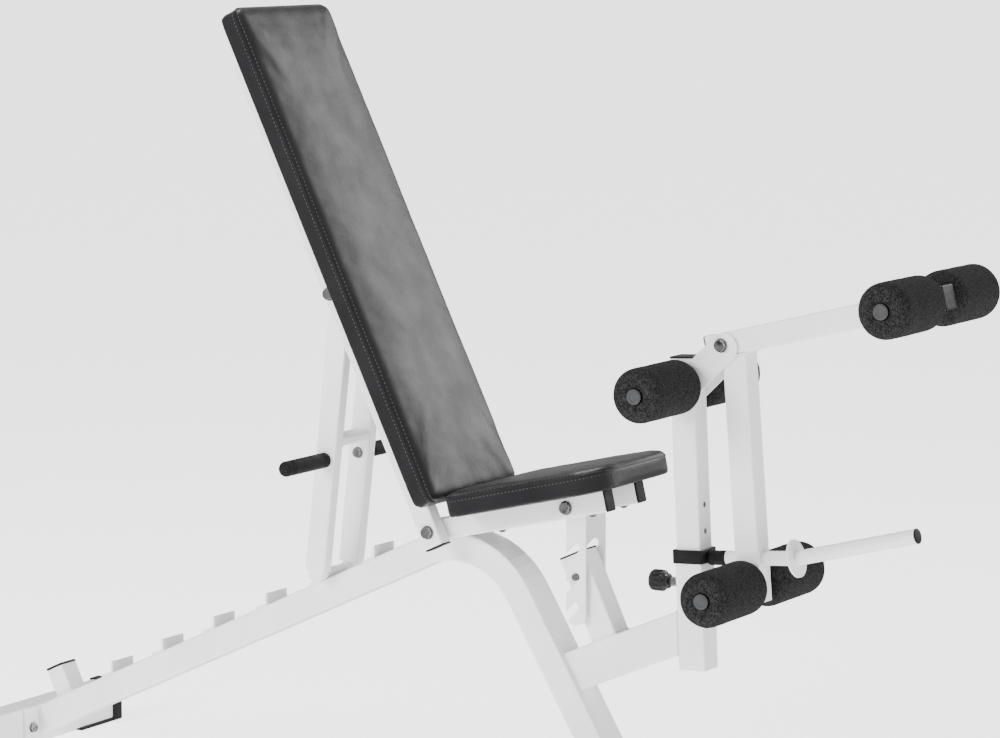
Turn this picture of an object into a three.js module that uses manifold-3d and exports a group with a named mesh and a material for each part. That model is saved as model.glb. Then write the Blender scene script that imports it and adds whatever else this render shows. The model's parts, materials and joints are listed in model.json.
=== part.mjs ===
// Adjustable weight bench: a bent spine on two crossmembers carries a hinged back and seat, and a leg
// developer on a height-adjusting post. Millimetres, +X forward, +Y to the bench's left, +Z up.
// The working origin is on the floor under the common hinge of back and seat; the finished group is then
// moved so that its origin is at the centre of its box, on the floor.
import * as THREE from 'three';
import { mergeVertices } from 'three/addons/utils/BufferGeometryUtils.js';
import Module from 'manifold-3d';

const wasm = await Module();
wasm.setup();

// ---------------------------------------------------------------- driving dimensions
const GAP = 0.3; // between two pieces that touch
const RUN = 0.4; // radial clearance of a pin or axle in its hole
const WALL = 2; // wall of the steel tubes
const TUBE_CORNER = 4; // outer corner radius of the steel tubes
const BEND_STEPS = 12; // flats the bend of the spine is made of

const HINGE_HEIGHT = 483;
const HINGE_ABOVE_SPINE = 9;
const HINGE_BOLT_R = 6;

const SPINE = { width: 70, depth: 50, bendRadius: 147, rearSlope: 24.9, frontSlope: 60, bendX: 12 };
const SPINE_REAR_X = -884;
const HOOK = { count: 6, first: 100, pitch: 125, height: 20, leg: 25, thick: 4 };
const SLEEVE_R = 12;
const REST_STUB = { fromBend: 855, depth: 38, width: 45, height: 52 };

const CROSS = { depth: 50, height: 70, rearSpan: 460, frontSpan: 460 };
const FOOT_CAP = { band: 28, wall: 2.6, sole: 5, soleLength: 130 };
const FLANGE = { width: 154, thick: 5, boltY: 57, boltHeight: 37 };
const FRAME_BOLT_R = 5;

const NECK = { width: 50, height: 70, slope: 23.2, throughX: 363, throughZ: 303 };
const RECEIVER = { outer: 50, x: 466, z: 360, lean: 2.7, below: 84, above: 116 };
const COLLAR = { height: 23, wall: 2.5, lip: 4 };
const SEAT_POST = { size: 50, lean: 24.5, topX: 239, topZ: 452 };
const CAP_THICK = 3;

// The seat rails pass the spine, and the back rails pass the seat rails.
const SEAT_RAIL = { width: 30, besideSpine: 5.5 };
const SEAT_RAIL_INNER = SPINE.width / 2 + SEAT_RAIL.besideSpine;
const BACK_RAIL_BESIDE_SEAT = 2;
const BACK_RAIL_INNER = SEAT_RAIL_INNER + SEAT_RAIL.width + BACK_RAIL_BESIDE_SEAT;

const BACK = { lean: 25.4, railWidth: 30, railDepth: 38, railInner: BACK_RAIL_INNER, below: 27, above: 880 };
const BACK_PAD = { width: 304, start: 37, length: 926, thick: 47, corner: 24, edge: 11 };
const BOARD = { thick: 12, inset: 7, pocket: 0.5 };
const BACK_CROSS = { at: 120, size: 30 };

const SUPPORT_BESIDE_SPINE = 7.5;
const SUPPORT = {
  pivotUp: 446.7, pivotBack: 6, innerHalf: SPINE.width / 2 + SUPPORT_BESIDE_SPINE, width: 25, depth: 40,
};
const SUPPORT_FOOT = { radius: 9, seatGap: 0.6, hook: 5, lug: 18, tubeShort: 9.6 };
const SUPPORT_BRACE = { down: 266, height: 16, depth: 34 };
const GRIP = { down: 299, radius: 13.5, length: 130 };
const PIVOT_BOLT_R = 6;

const SEAT = {
  tilt: 13, railWidth: SEAT_RAIL.width, railDepth: 38, railInner: SEAT_RAIL_INNER, behind: 20, ahead: 335,
};
const SEAT_PAD = { start: 66.5, length: 313.5, half: 152, thick: 45, corner: 24, edge: 9 };
const SEAT_NOSE = { run: 42, inward: 50 };

const LADDER_BESIDE_POST = 6;
const LADDER = {
  pivot: 260, width: 38, thick: 5, inner: SEAT_POST.size / 2 + LADDER_BESIDE_POST,
  length: 208, pinDrop: 124, pitch: 50,
};
const NOTCH = { count: 3, width: 15, slope: 45 };
const STOP_PIN_R = 6;

const POST = { size: 45, below: 60, above: 442 };
const PIN_HOLE = { radius: 5.5, firstAbove: 60, pitch: 45, below: 2, above: 3 };
const ARM_PIVOT = { ahead: 77.4, above: 465.4 };
const EAR_BESIDE_POST = 2;
const EAR = { halfWidth: POST.size / 2 + EAR_BESIDE_POST, thick: 5, shift: 4 };
const POST_AXLE_ABOVE = 397;

const BEAM = { rise: 14, height: 40, width: 44, behind: 30, ahead: 404, axleAhead: 373 };
const ARM = { size: 44, lean: 4.4, ahead: 20, length: 430, axleDown: 400 };
const AXLE = { radius: 12.5, half: 194 };
const ROLLER = { radius: 46, inner: 30, outer: 192, round: 18 };
const BUMPER = { down: 357, radius: 12, rubber: 33 };
const HORN = { down: 357, sleeve: 59, radius: 12.5, rise: 10, bar: 222, disc: 32, discThick: 4 };
const KNOB = {
  above: 60, radius: 18.5, length: 28, neckRadius: 13.5, neck: 6, stemRadius: 8, stem: 21, pin: 4.7,
};

// ---------------------------------------------------------------- finishes
const finish = (color, roughness, metalness) =>
  new THREE.MeshStandardMaterial({ color, roughness, metalness });
const WHITE_STEEL = finish(0xeeeeec, 0.42, 0.1);
const ZINC = finish(0xb9bcc0, 0.32, 0.95);
const BLACK_PLASTIC = finish(0x17181a, 0.45, 0);
const BLACK_VINYL = finish(0x1c1c1e, 0.36, 0);
const FOAM = finish(0x232325, 0.95, 0);
const RUBBER = finish(0x18181a, 0.6, 0);
const BOARD_BLACK = finish(0x202022, 0.8, 0);

// ---------------------------------------------------------------- solids
const rad = THREE.MathUtils.degToRad;

function toSolid(geometry) {
  const bare = geometry.clone();
  bare.deleteAttribute('normal');
  bare.deleteAttribute('uv');
  const merged = mergeVertices(bare, 1e-4);
  return new wasm.Manifold(new wasm.Mesh({
    numProp: 3,
    vertProperties: new Float32Array(merged.attributes.position.array),
    triVerts: new Uint32Array(merged.index.array),
  }));
}

function toGeometry(solid) {
  const mesh = solid.getMesh();
  const geometry = new THREE.BufferGeometry();
  geometry.setAttribute('position', new THREE.BufferAttribute(mesh.vertProperties, 3));
  geometry.setIndex(new THREE.BufferAttribute(mesh.triVerts, 1));
  return geometry;
}

const join = (first, ...others) =>
  toGeometry(others.reduce((sum, other) => sum.add(toSolid(other)), toSolid(first)));
const cut = (first, ...others) =>
  toGeometry(others.reduce((rest, other) => rest.subtract(toSolid(other)), toSolid(first)));
const keep = (first, other) => toGeometry(toSolid(first).intersect(toSolid(other)));

function box(x0, x1, y0, y1, z0, z1) {
  return new THREE.BoxGeometry(x1 - x0, y1 - y0, z1 - z0)
    .translate((x0 + x1) / 2, (y0 + y1) / 2, (z0 + z1) / 2);
}

// A cylinder along Y through (x, z).
function rod(radius, y0, y1, x = 0, z = 0, sides = 16) {
  return new THREE.CylinderGeometry(radius, radius, y1 - y0, sides).translate(x, (y0 + y1) / 2, z);
}

// Joins closed rings of points, each the same section, into one solid with flat ends.
function loft(rings, section) {
  const count = section.length;
  const faces = THREE.ShapeUtils.triangulateShape(section, []);
  const index = [];
  for (let ring = 0; ring < rings.length - 1; ring += 1) {
    for (let i = 0; i < count; i += 1) {
      const [a, b] = [ring * count + i, ring * count + ((i + 1) % count)];
      index.push(a, b, a + count, b, b + count, a + count);
    }
  }
  const last = (rings.length - 1) * count;
  for (const [a, b, c] of faces) index.push(a, c, b, last + a, last + b, last + c);
  const geometry = new THREE.BufferGeometry().setFromPoints(rings.flat());
  return geometry.setIndex(index);
}

// The same cylinder along X through (y, z).
function rodX(radius, x0, x1, y = 0, z = 0, sides = 16) {
  return new THREE.CylinderGeometry(radius, radius, x1 - x0, sides).rotateZ(-Math.PI / 2)
    .translate((x0 + x1) / 2, y, z);
}

// An outline of straight sides with rounded corners.
function roundedOutline(corners, radius, target = new THREE.Shape()) {
  corners.forEach((corner, i) => {
    const before = corners[(i + corners.length - 1) % corners.length];
    const after = corners[(i + 1) % corners.length];
    const into = corner.clone().lerp(before, radius / corner.distanceTo(before));
    const out = corner.clone().lerp(after, radius / corner.distanceTo(after));
    if (i === 0) target.moveTo(into.x, into.y);
    else target.lineTo(into.x, into.y);
    target.quadraticCurveTo(corner.x, corner.y, out.x, out.y);
  });
  target.closePath();
  return target;
}

function rectangle(width, height) {
  const [x, y] = [width / 2, height / 2];
  return [[-x, -y], [x, -y], [x, y], [-x, y]].map(([a, b]) => new THREE.Vector2(a, b));
}

function roundedRectangle(width, height, radius, target) {
  return roundedOutline(rectangle(width, height), radius, target);
}

function tubeSection(depth, width, wall = WALL) {
  const section = roundedRectangle(depth, width, TUBE_CORNER);
  const [innerDepth, innerWidth] = [depth - 2 * wall, width - 2 * wall];
  const inside = roundedRectangle(innerDepth, innerWidth, TUBE_CORNER - wall / 2, new THREE.Path());
  section.holes.push(inside);
  return section;
}

// Extrudes a section (x = depth, y = width along Y) straight up Z from z0 to z1.
function upright(section, z0, z1) {
  return new THREE.ExtrudeGeometry(section, { depth: z1 - z0, bevelEnabled: false, curveSegments: 3 })
    .translate(0, 0, z0);
}

// Extrudes an outline drawn in the XZ plane along Y.
function slab(outline, y0, y1, curveSegments = 8) {
  return new THREE.ExtrudeGeometry(outline, { depth: y1 - y0, bevelEnabled: false, curveSegments })
    .rotateX(Math.PI / 2).translate(0, y1, 0);
}

// Turns a piece built up Z so that its top leans towards -X, and sets its origin at (x, z).
const lean = (geometry, degrees, x = 0, z = 0) =>
  geometry.rotateY(-rad(degrees)).translate(x, 0, z);

// A hexagon bolt along Y: head and washer before y0, washer and nut after y1.
function bolt(radius, y0, y1, x = 0, z = 0) {
  const [washer, head] = [2, 1.1 * radius];
  return join(
    rod(radius, y0 - washer - head / 2, y1 + washer + head + 3, x, z, 12),
    rod(radius * 2, y0 - washer, y0 - GAP, x, z),
    rod(radius * 1.75, y0 - washer - head, y0 - washer + 0.2, x, z, 6),
    rod(radius * 2, y1 + GAP, y1 + washer, x, z),
    rod(radius * 1.75, y1 + washer - 0.2, y1 + washer + head, x, z, 6),
  );
}

// ---------------------------------------------------------------- scene graph helpers
const bench = new THREE.Group();

function group(parent, x = 0, z = 0, tilt = 0) {
  const made = new THREE.Group();
  made.position.set(x, 0, z);
  made.rotation.y = -rad(tilt);
  parent.add(made);
  return made;
}

function piece(parent, name, geometry, material) {
  const mesh = new THREE.Mesh(geometry, material);
  mesh.name = name;
  parent.add(mesh);
  return mesh;
}

const SIDES = [['right', -1], ['left', 1]];

// The span of Y from `inner` to `outer` on one side.
const onSide = (side, inner, outer) => (side < 0 ? [-outer, -inner] : [inner, outer]);

// ---------------------------------------------------------------- spine
const bendZ = HINGE_HEIGHT - HINGE_ABOVE_SPINE - SPINE.depth / 2 - SPINE.bendRadius;

// The middle line of the bend at `angle` from its crown, forward positive.
const onBend = (angle) => new THREE.Vector2(
  SPINE.bendX + SPINE.bendRadius * Math.sin(angle),
  bendZ + SPINE.bendRadius * Math.cos(angle),
);

// A point `along` the rear stretch from the bend and `above` its top face.
function onRearStretch(along, above) {
  const slope = rad(SPINE.rearSlope);
  const reach = SPINE.bendRadius + SPINE.depth / 2 + above;
  return new THREE.Vector2(
    SPINE.bendX - reach * Math.sin(slope) - along * Math.cos(slope),
    bendZ + reach * Math.cos(slope) - along * Math.sin(slope),
  );
}

// The spine's section carried along its middle line, `grow` larger all round, from the upright plane at
// rearX over the bend to the level plane at frontZ.
function spineSolid(grow, rearX, frontZ) {
  const section = roundedRectangle(SPINE.width + 2 * grow, SPINE.depth + 2 * grow, TUBE_CORNER + grow / 2)
    .extractPoints(2).shape.slice(0, -1);
  const [from, to] = [rad(-SPINE.rearSlope), rad(SPINE.frontSlope)];
  const ring = (angle, slide) => section.map(({ x: across, y: up }) => {
    const middle = onBend(angle);
    const point = new THREE.Vector3(middle.x + up * Math.sin(angle), across, middle.y + up * Math.cos(angle));
    return point.addScaledVector(new THREE.Vector3(Math.cos(angle), 0, -Math.sin(angle)), slide(point));
  });
  const bends = Array.from({ length: BEND_STEPS + 1 }, (_, i) =>
    ring(from + ((to - from) * i) / BEND_STEPS, () => 0));
  const rings = [
    ring(from, (point) => (rearX - point.x) / Math.cos(from)),
    ...bends,
    ring(to, (point) => (point.z - frontZ) / Math.sin(to)),
  ];
  return loft(rings, section);
}

const frontSeatZ = FOOT_CAP.sole + GAP + CROSS.height + GAP;

function hookOutline() {
  const slope = rad(SPINE.rearSlope);
  const sink = 1;
  const front = (up) => new THREE.Vector2(0, up);
  const down = (along, above) => new THREE.Vector2(
    -along * Math.cos(slope) - above * Math.sin(slope),
    -along * Math.sin(slope) + above * Math.cos(slope),
  );
  const back = HOOK.thick * Math.tan(slope);
  return new THREE.Shape([
    down(-0.4, -sink),
    front(HOOK.height),
    new THREE.Vector2(-HOOK.thick, HOOK.height),
    new THREE.Vector2(-HOOK.thick, HOOK.thick - back),
    down(HOOK.leg, HOOK.thick),
    down(HOOK.leg, -sink),
  ]);
}

const hookAlong = (number) => HOOK.first + HOOK.pitch * (HOOK.count - number);

function restStub() {
  const base = onRearStretch(REST_STUB.fromBend, 0);
  const tube = upright(tubeSection(REST_STUB.depth, REST_STUB.width), -1.5, REST_STUB.height);
  return lean(tube, SPINE.rearSlope, base.x, base.y);
}

function addSpine() {
  const outer = spineSolid(0, SPINE_REAR_X - 1, frontSeatZ);
  const inner = spineSolid(-WALL, SPINE_REAR_X + 0.5, frontSeatZ - 10);
  const hollow = cut(outer, inner);
  const half = SPINE.width / 2;
  const hookHalf = half - 2;
  const hooks = Array.from({ length: HOOK.count }, (_, i) => {
    const at = onRearStretch(hookAlong(i + 1), 0);
    return slab(hookOutline(), -hookHalf, hookHalf).translate(at.x, 0, at.y);
  });
  const flangeTop = FOOT_CAP.sole + GAP + CROSS.height;
  const flange = box(SPINE_REAR_X - FLANGE.thick, SPINE_REAR_X, -FLANGE.width / 2, FLANGE.width / 2,
    FOOT_CAP.sole + GAP, flangeTop);
  const sleeve = rod(SLEEVE_R, -half - 4, half + 4, 0, HINGE_HEIGHT);
  const bore = rod(HINGE_BOLT_R + RUN, -100, 100, 0, HINGE_HEIGHT);
  const boltHoles = SIDES.map(([, side]) =>
    rodX(FRAME_BOLT_R + RUN, SPINE_REAR_X - 20, SPINE_REAR_X + 20, side * FLANGE.boltY, FLANGE.boltHeight));
  const body = cut(join(hollow, ...hooks, flange, sleeve, restStub()), bore, ...boltHoles);
  piece(bench, 'spine_frame', body, WHITE_STEEL);

  const cap = upright(roundedRectangle(REST_STUB.depth + 1, REST_STUB.width + 1, TUBE_CORNER),
    REST_STUB.height + GAP, REST_STUB.height + GAP + CAP_THICK);
  const base = onRearStretch(REST_STUB.fromBend, 0);
  piece(bench, 'rest_stub_cap', lean(cap, SPINE.rearSlope, base.x, base.y), BLACK_PLASTIC);
}

// ---------------------------------------------------------------- crossmembers
function footCap(x, side, span) {
  const [tubeLow, tubeHigh] = [FOOT_CAP.sole + GAP, FOOT_CAP.sole + GAP + CROSS.height];
  const half = CROSS.depth / 2;
  const grow = FOOT_CAP.wall + GAP;
  const end = span / 2;
  const shell = box(x - half - grow, x + half + grow, ...onSide(side, end - FOOT_CAP.band, end),
    0, tubeHigh + grow);
  const sole = box(x - half - grow, x + half + grow, ...onSide(side, end - FOOT_CAP.soleLength, end),
    0, FOOT_CAP.sole);
  const pocket = box(x - half - GAP, x + half + GAP,
    ...onSide(side, end - FOOT_CAP.band - 300, end - FOOT_CAP.wall), tubeLow - GAP, tubeHigh + GAP);
  return cut(join(shell, sole), pocket);
}

function addCrossmember(where, x, span, boltHoles) {
  const tubeLow = FOOT_CAP.sole + GAP;
  const reach = span / 2 - FOOT_CAP.wall - GAP;
  const section = tubeSection(CROSS.depth, CROSS.height);
  const tube = upright(section, -reach, reach).rotateX(Math.PI / 2)
    .translate(x, 0, tubeLow + CROSS.height / 2);
  piece(bench, `${where}_crossmember`, boltHoles.length ? cut(tube, ...boltHoles) : tube, WHITE_STEEL);
  for (const [name, side] of SIDES) {
    piece(bench, `${where}_foot_cap_${name}`, footCap(x, side, span), BLACK_PLASTIC);
  }
}

function addCrossmembers() {
  const rearFace = SPINE_REAR_X - FLANGE.thick - GAP;
  const rearX = rearFace - CROSS.depth / 2;
  const holes = SIDES.map(([, side]) =>
    rodX(FRAME_BOLT_R + RUN, rearX - 60, rearX + 60, side * FLANGE.boltY, FLANGE.boltHeight));
  addCrossmember('rear', rearX, CROSS.rearSpan, holes);
  for (const [name, side] of SIDES) {
    const through = bolt(FRAME_BOLT_R, -SPINE_REAR_X, -rearFace + CROSS.depth).rotateZ(Math.PI / 2)
      .translate(0, side * FLANGE.boltY, FLANGE.boltHeight);
    piece(bench, `rear_bolt_${name}`, through, ZINC);
  }
  const foot = onBend(rad(SPINE.frontSlope));
  const frontX = foot.x + (foot.y - frontSeatZ) / Math.tan(rad(SPINE.frontSlope));
  addCrossmember('front', frontX, CROSS.frontSpan, []);
}

// ---------------------------------------------------------------- neck, receiver and seat post
const neckSolid = (section) =>
  lean(upright(section, -150, 110), NECK.slope - 90, NECK.throughX, NECK.throughZ);

const receiverSolid = (section, z0, z1) =>
  lean(upright(section, z0, z1), RECEIVER.lean, RECEIVER.x, RECEIVER.z);

function addNeck() {
  const tube = neckSolid(tubeSection(NECK.height, NECK.width));
  const spine = spineSolid(GAP, SPINE_REAR_X, 0);
  const size = RECEIVER.outer + 2 * GAP;
  const receiver = receiverSolid(roundedRectangle(size, size, TUBE_CORNER), -200, 200);
  piece(bench, 'neck_tube', cut(tube, spine, receiver), WHITE_STEEL);
}

function addReceiver() {
  const wall = (RECEIVER.outer - POST.size) / 2 - 0.5;
  const section = tubeSection(RECEIVER.outer, RECEIVER.outer, wall);
  const tube = receiverSolid(section, -RECEIVER.below, RECEIVER.above);
  const height = RECEIVER.z + KNOB.above * Math.cos(rad(RECEIVER.lean));
  const hole = rodX(KNOB.pin + RUN, RECEIVER.x - 80, RECEIVER.x - 10, 0, height);
  piece(bench, 'receiver_tube', cut(tube, hole), WHITE_STEEL);

  const outer = RECEIVER.outer + 2 * (COLLAR.wall + GAP);
  const pocket = RECEIVER.outer + 2 * GAP;
  const opening = POST.size + 2 * RUN;
  const top = RECEIVER.above + GAP + COLLAR.lip;
  const collar = cut(
    upright(roundedRectangle(outer, outer, TUBE_CORNER), top - COLLAR.height, top),
    upright(roundedRectangle(pocket, pocket, TUBE_CORNER / 2), top - COLLAR.height - 5, RECEIVER.above + GAP),
    upright(roundedRectangle(opening, opening, TUBE_CORNER / 2), RECEIVER.above - 10, top + 5),
  );
  piece(bench, 'receiver_collar', lean(collar, RECEIVER.lean, RECEIVER.x, RECEIVER.z), BLACK_PLASTIC);
}

function addSeatPost() {
  const place = (geometry) => lean(geometry, SEAT_POST.lean, SEAT_POST.topX, SEAT_POST.topZ);
  const tube = place(upright(tubeSection(SEAT_POST.size, SEAT_POST.size), -180, 0));
  const neck = neckSolid(roundedRectangle(NECK.height + 2 * GAP, NECK.width + 20, TUBE_CORNER));
  const pin = ladderPin();
  const hole = rod(STOP_PIN_R + RUN, -60, 60, pin.x, pin.y);
  piece(bench, 'seat_post', cut(tube, neck, hole), WHITE_STEEL);
  const capSide = SEAT_POST.size + 1;
  const cap = upright(roundedRectangle(capSide, capSide, TUBE_CORNER), GAP, GAP + CAP_THICK);
  piece(bench, 'seat_post_cap', place(cap), BLACK_PLASTIC);
  const reach = LADDER.inner + LADDER.thick + 3;
  piece(bench, 'seat_stop_pin', rod(STOP_PIN_R, -reach, reach, pin.x, pin.y), ZINC);
}

// ---------------------------------------------------------------- back
function railTube(depth, width, length, hole) {
  const tube = upright(tubeSection(depth, width), 0, length);
  return hole ? cut(tube, ...hole) : tube;
}

// A padded block: `plan` is its outline seen from above, and its edges are rolled by `edge`.
function padBlock(plan, thick, edge) {
  return new THREE.ExtrudeGeometry(plan, {
    depth: thick - 2 * edge,
    bevelEnabled: true,
    bevelThickness: edge,
    bevelSize: edge,
    bevelOffset: -edge,
    bevelSegments: 3,
    curveSegments: 4,
  }).translate(0, 0, edge);
}

// Turns a plan drawn in XY, thick along Z, into one that stands in YZ, thick along +X.
const standUp = (geometry) => geometry.applyMatrix4(
  new THREE.Matrix4().makeBasis(
    new THREE.Vector3(0, 1, 0), new THREE.Vector3(0, 0, 1), new THREE.Vector3(1, 0, 0)));

function backPlan(inset) {
  const [half, z0] = [BACK_PAD.width / 2 - inset, BACK_PAD.start + inset];
  const z1 = BACK_PAD.start + BACK_PAD.length - inset;
  const corners = [[-half, z0], [half, z0], [half, z1], [-half, z1]];
  return roundedOutline(corners.map(([a, b]) => new THREE.Vector2(a, b)), BACK_PAD.corner - inset / 2);
}

const flat = (plan, thick) =>
  new THREE.ExtrudeGeometry(plan, { depth: thick, bevelEnabled: false, curveSegments: 5 });

function addBack() {
  const back = group(bench, 0, HINGE_HEIGHT, BACK.lean);
  const face = BACK.railDepth / 2;
  for (const [name, side] of SIDES) {
    const [y0, y1] = onSide(side, BACK.railInner, BACK.railInner + BACK.railWidth);
    const holes = [
      rod(HINGE_BOLT_R + RUN, -50, 50),
      rod(PIVOT_BOLT_R + RUN, -50, 50, -SUPPORT.pivotBack, SUPPORT.pivotUp),
    ];
    const rail = cut(upright(tubeSection(BACK.railDepth, BACK.railWidth), -BACK.below, BACK.above), ...holes);
    piece(back, `back_rail_${name}`, rail.translate(0, (y0 + y1) / 2, 0), WHITE_STEEL);
    const cap = upright(roundedRectangle(BACK.railDepth, BACK.railWidth, TUBE_CORNER),
      -BACK.below - GAP - CAP_THICK, -BACK.below - GAP);
    piece(back, `back_rail_cap_${name}`, cap.translate(0, (y0 + y1) / 2, 0), BLACK_PLASTIC);
  }
  const reach = BACK.railInner - GAP;
  const cross = upright(tubeSection(BACK_CROSS.size, BACK_CROSS.size), -reach, reach)
    .rotateX(Math.PI / 2).translate(0, 0, BACK_CROSS.at);
  piece(back, 'back_crosspiece', cross, WHITE_STEEL);

  const boardFrom = face + GAP;
  const board = standUp(flat(backPlan(BOARD.inset), BOARD.thick)).translate(boardFrom, 0, 0);
  piece(back, 'back_board', board, BOARD_BLACK);
  const pocket = standUp(flat(backPlan(BOARD.inset - BOARD.pocket), BOARD.thick + 20))
    .translate(boardFrom - 20 + GAP, 0, 0);
  const pad = standUp(padBlock(backPlan(0), BACK_PAD.thick, BACK_PAD.edge)).translate(boardFrom, 0, 0);
  piece(back, 'back_pad', cut(pad, pocket), BLACK_VINYL);

  const outer = BACK.railInner + BACK.railWidth;
  const pivotBolt = bolt(PIVOT_BOLT_R, -outer, outer, -SUPPORT.pivotBack, SUPPORT.pivotUp);
  piece(back, 'support_pivot_bolt', pivotBolt, ZINC);
  piece(bench, 'hinge_bolt', bolt(HINGE_BOLT_R, -outer, outer, 0, HINGE_HEIGHT), ZINC);
}

// ---------------------------------------------------------------- back support
function supportPivot() {
  const angle = rad(BACK.lean);
  const [up, behind] = [SUPPORT.pivotUp, SUPPORT.pivotBack];
  return new THREE.Vector2(
    -up * Math.sin(angle) - behind * Math.cos(angle),
    HINGE_HEIGHT + up * Math.cos(angle) - behind * Math.sin(angle),
  );
}

// The foot bar lies on the spine's top face and against the front of a hook.
function footSeat() {
  const slope = rad(SPINE.rearSlope);
  const off = SUPPORT_FOOT.radius + SUPPORT_FOOT.seatGap;
  const hookFront = onRearStretch(hookAlong(SUPPORT_FOOT.hook), 0);
  const x = hookFront.x + off;
  return new THREE.Vector2(x, hookFront.y + (x - hookFront.x) * Math.tan(slope) + off / Math.cos(slope));
}

function addSupport() {
  const pivot = supportPivot();
  const seat = footSeat();
  const length = pivot.distanceTo(seat);
  const angle = THREE.MathUtils.radToDeg(Math.atan2(pivot.x - seat.x, pivot.y - seat.y));
  const legs = group(bench, pivot.x, pivot.y, -angle);
  const half = SUPPORT.depth / 2;
  const bottom = -length + SUPPORT_FOOT.tubeShort;
  const middle = SUPPORT.innerHalf + SUPPORT.width / 2;
  const gripBoltR = 5;
  const headroom = join(rod(half, -40, 40), box(-half - 5, half + 5, -40, 40, bottom - 5, 0));
  for (const [name, side] of SIDES) {
    const tube = upright(tubeSection(SUPPORT.depth, SUPPORT.width), bottom, half);
    const leg = cut(keep(tube, headroom), rod(PIVOT_BOLT_R + RUN, -40, 40),
      rod(gripBoltR + RUN, -40, 40, 0, -GRIP.down));
    piece(legs, `support_leg_${name}`, leg.translate(0, side * middle, 0), WHITE_STEEL);

    const outer = SUPPORT.innerHalf + SUPPORT.width;
    const tip = outer + GAP + GRIP.length;
    const grip = cut(rod(GRIP.radius, ...onSide(side, outer + GAP, tip), 0, -GRIP.down, 20),
      rod(gripBoltR + RUN, ...onSide(side, outer - 5, tip - 12), 0, -GRIP.down));
    piece(legs, `support_grip_${name}`, grip, RUBBER);
    const inner = SUPPORT.innerHalf;
    const screw = join(
      rod(gripBoltR, ...onSide(side, inner - 8, tip - 13), 0, -GRIP.down, 16),
      rod(gripBoltR * 2, ...onSide(side, inner - 2, inner - GAP), 0, -GRIP.down),
      rod(gripBoltR * 1.75, ...onSide(side, inner - 8, inner - 1.8), 0, -GRIP.down, 6),
    );
    piece(legs, `grip_bolt_${name}`, screw, ZINC);
  }
  const reach = SUPPORT.innerHalf - GAP;
  const brace = upright(tubeSection(SUPPORT_BRACE.depth, SUPPORT_BRACE.height), -reach, reach)
    .rotateX(Math.PI / 2).translate(half - SUPPORT_BRACE.depth / 2, 0, -SUPPORT_BRACE.down);
  piece(legs, 'support_brace', brace, WHITE_STEEL);

  const lugDepth = SUPPORT.depth - 2 * (WALL + RUN) - 1;
  const lugWidth = SUPPORT.width - 2 * (WALL + RUN) - 1;
  const lugs = SIDES.flatMap(([, side]) => {
    const [y0, y1] = onSide(side, middle - lugWidth / 2, middle + lugWidth / 2);
    return [
      box(-lugDepth / 2, lugDepth / 2, y0, y1, bottom - 1, bottom + SUPPORT_FOOT.lug),
      rod(lugDepth / 2 - 3, y0, y1, 0, -length + 4),
    ];
  });
  const foot = join(rod(SUPPORT_FOOT.radius, -middle, middle, 0, -length, 20), ...lugs);
  piece(legs, 'support_foot', foot, WHITE_STEEL);
}

// ---------------------------------------------------------------- seat
const padScrewR = 4;

function seatPlan(inset) {
  const [x0, x1] = [SEAT_PAD.start + inset, SEAT_PAD.start + SEAT_PAD.length - inset];
  const [half, nose] = [SEAT_PAD.half - inset, x1 - SEAT_NOSE.run];
  const front = half - SEAT_NOSE.inward;
  const corners = [[x0, -half], [nose, -half], [x1, -front], [x1, front], [nose, half], [x0, half]];
  return roundedOutline(corners.map(([a, b]) => new THREE.Vector2(a, b)), SEAT_PAD.corner - inset / 2);
}

function addSeat() {
  const seat = group(bench, 0, HINGE_HEIGHT, SEAT.tilt);
  const face = SEAT.railDepth / 2;
  for (const [name, side] of SIDES) {
    const [y0, y1] = onSide(side, SEAT.railInner, SEAT.railInner + SEAT.railWidth);
    const tube = upright(tubeSection(SEAT.railDepth, SEAT.railWidth), -SEAT.behind, SEAT.ahead);
    const rail = cut(lean(tube, -90), rod(HINGE_BOLT_R + RUN, -50, 50),
      rod(PIVOT_BOLT_R + RUN, -50, 50, LADDER.pivot));
    piece(seat, `seat_rail_${name}`, rail.translate(0, (y0 + y1) / 2, 0), WHITE_STEEL);
    const cap = upright(roundedRectangle(SEAT.railDepth, SEAT.railWidth, TUBE_CORNER),
      SEAT.ahead + GAP, SEAT.ahead + GAP + CAP_THICK);
    piece(seat, `seat_rail_cap_${name}`, lean(cap, -90).translate(0, (y0 + y1) / 2, 0), BLACK_PLASTIC);
  }
  const outer = SEAT.railInner + SEAT.railWidth;
  piece(seat, 'ladder_pivot_bolt', bolt(PIVOT_BOLT_R, -outer, outer, LADDER.pivot), ZINC);
  const board = flat(seatPlan(BOARD.inset), BOARD.thick).translate(0, 0, face + GAP);
  piece(seat, 'seat_board', board, BOARD_BLACK);
  const pocket = flat(seatPlan(BOARD.inset - BOARD.pocket), BOARD.thick + 20)
    .translate(0, 0, face - 20 + 2 * GAP);
  const pad = padBlock(seatPlan(0), SEAT_PAD.thick, SEAT_PAD.edge).translate(0, 0, face + GAP);
  piece(seat, 'seat_pad', cut(pad, pocket), BLACK_VINYL);
}

// ---------------------------------------------------------------- seat ladder
function ladderPivot() {
  const tilt = rad(SEAT.tilt);
  return new THREE.Vector2(LADDER.pivot * Math.cos(tilt), HINGE_HEIGHT + LADDER.pivot * Math.sin(tilt));
}

function ladderPin() {
  const pivot = ladderPivot();
  return new THREE.Vector2(pivot.x, pivot.y - LADDER.pinDrop);
}

function notch(drop) {
  const half = NOTCH.width / 2;
  const slot = new THREE.Shape();
  slot.absarc(0, 0, half, -Math.PI / 2, Math.PI / 2, false);
  slot.lineTo(-60, half);
  slot.lineTo(-60, -half);
  slot.closePath();
  return slab(slot, -60, 60, 6).rotateY(-rad(NOTCH.slope)).translate(0, 0, -drop);
}

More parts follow.
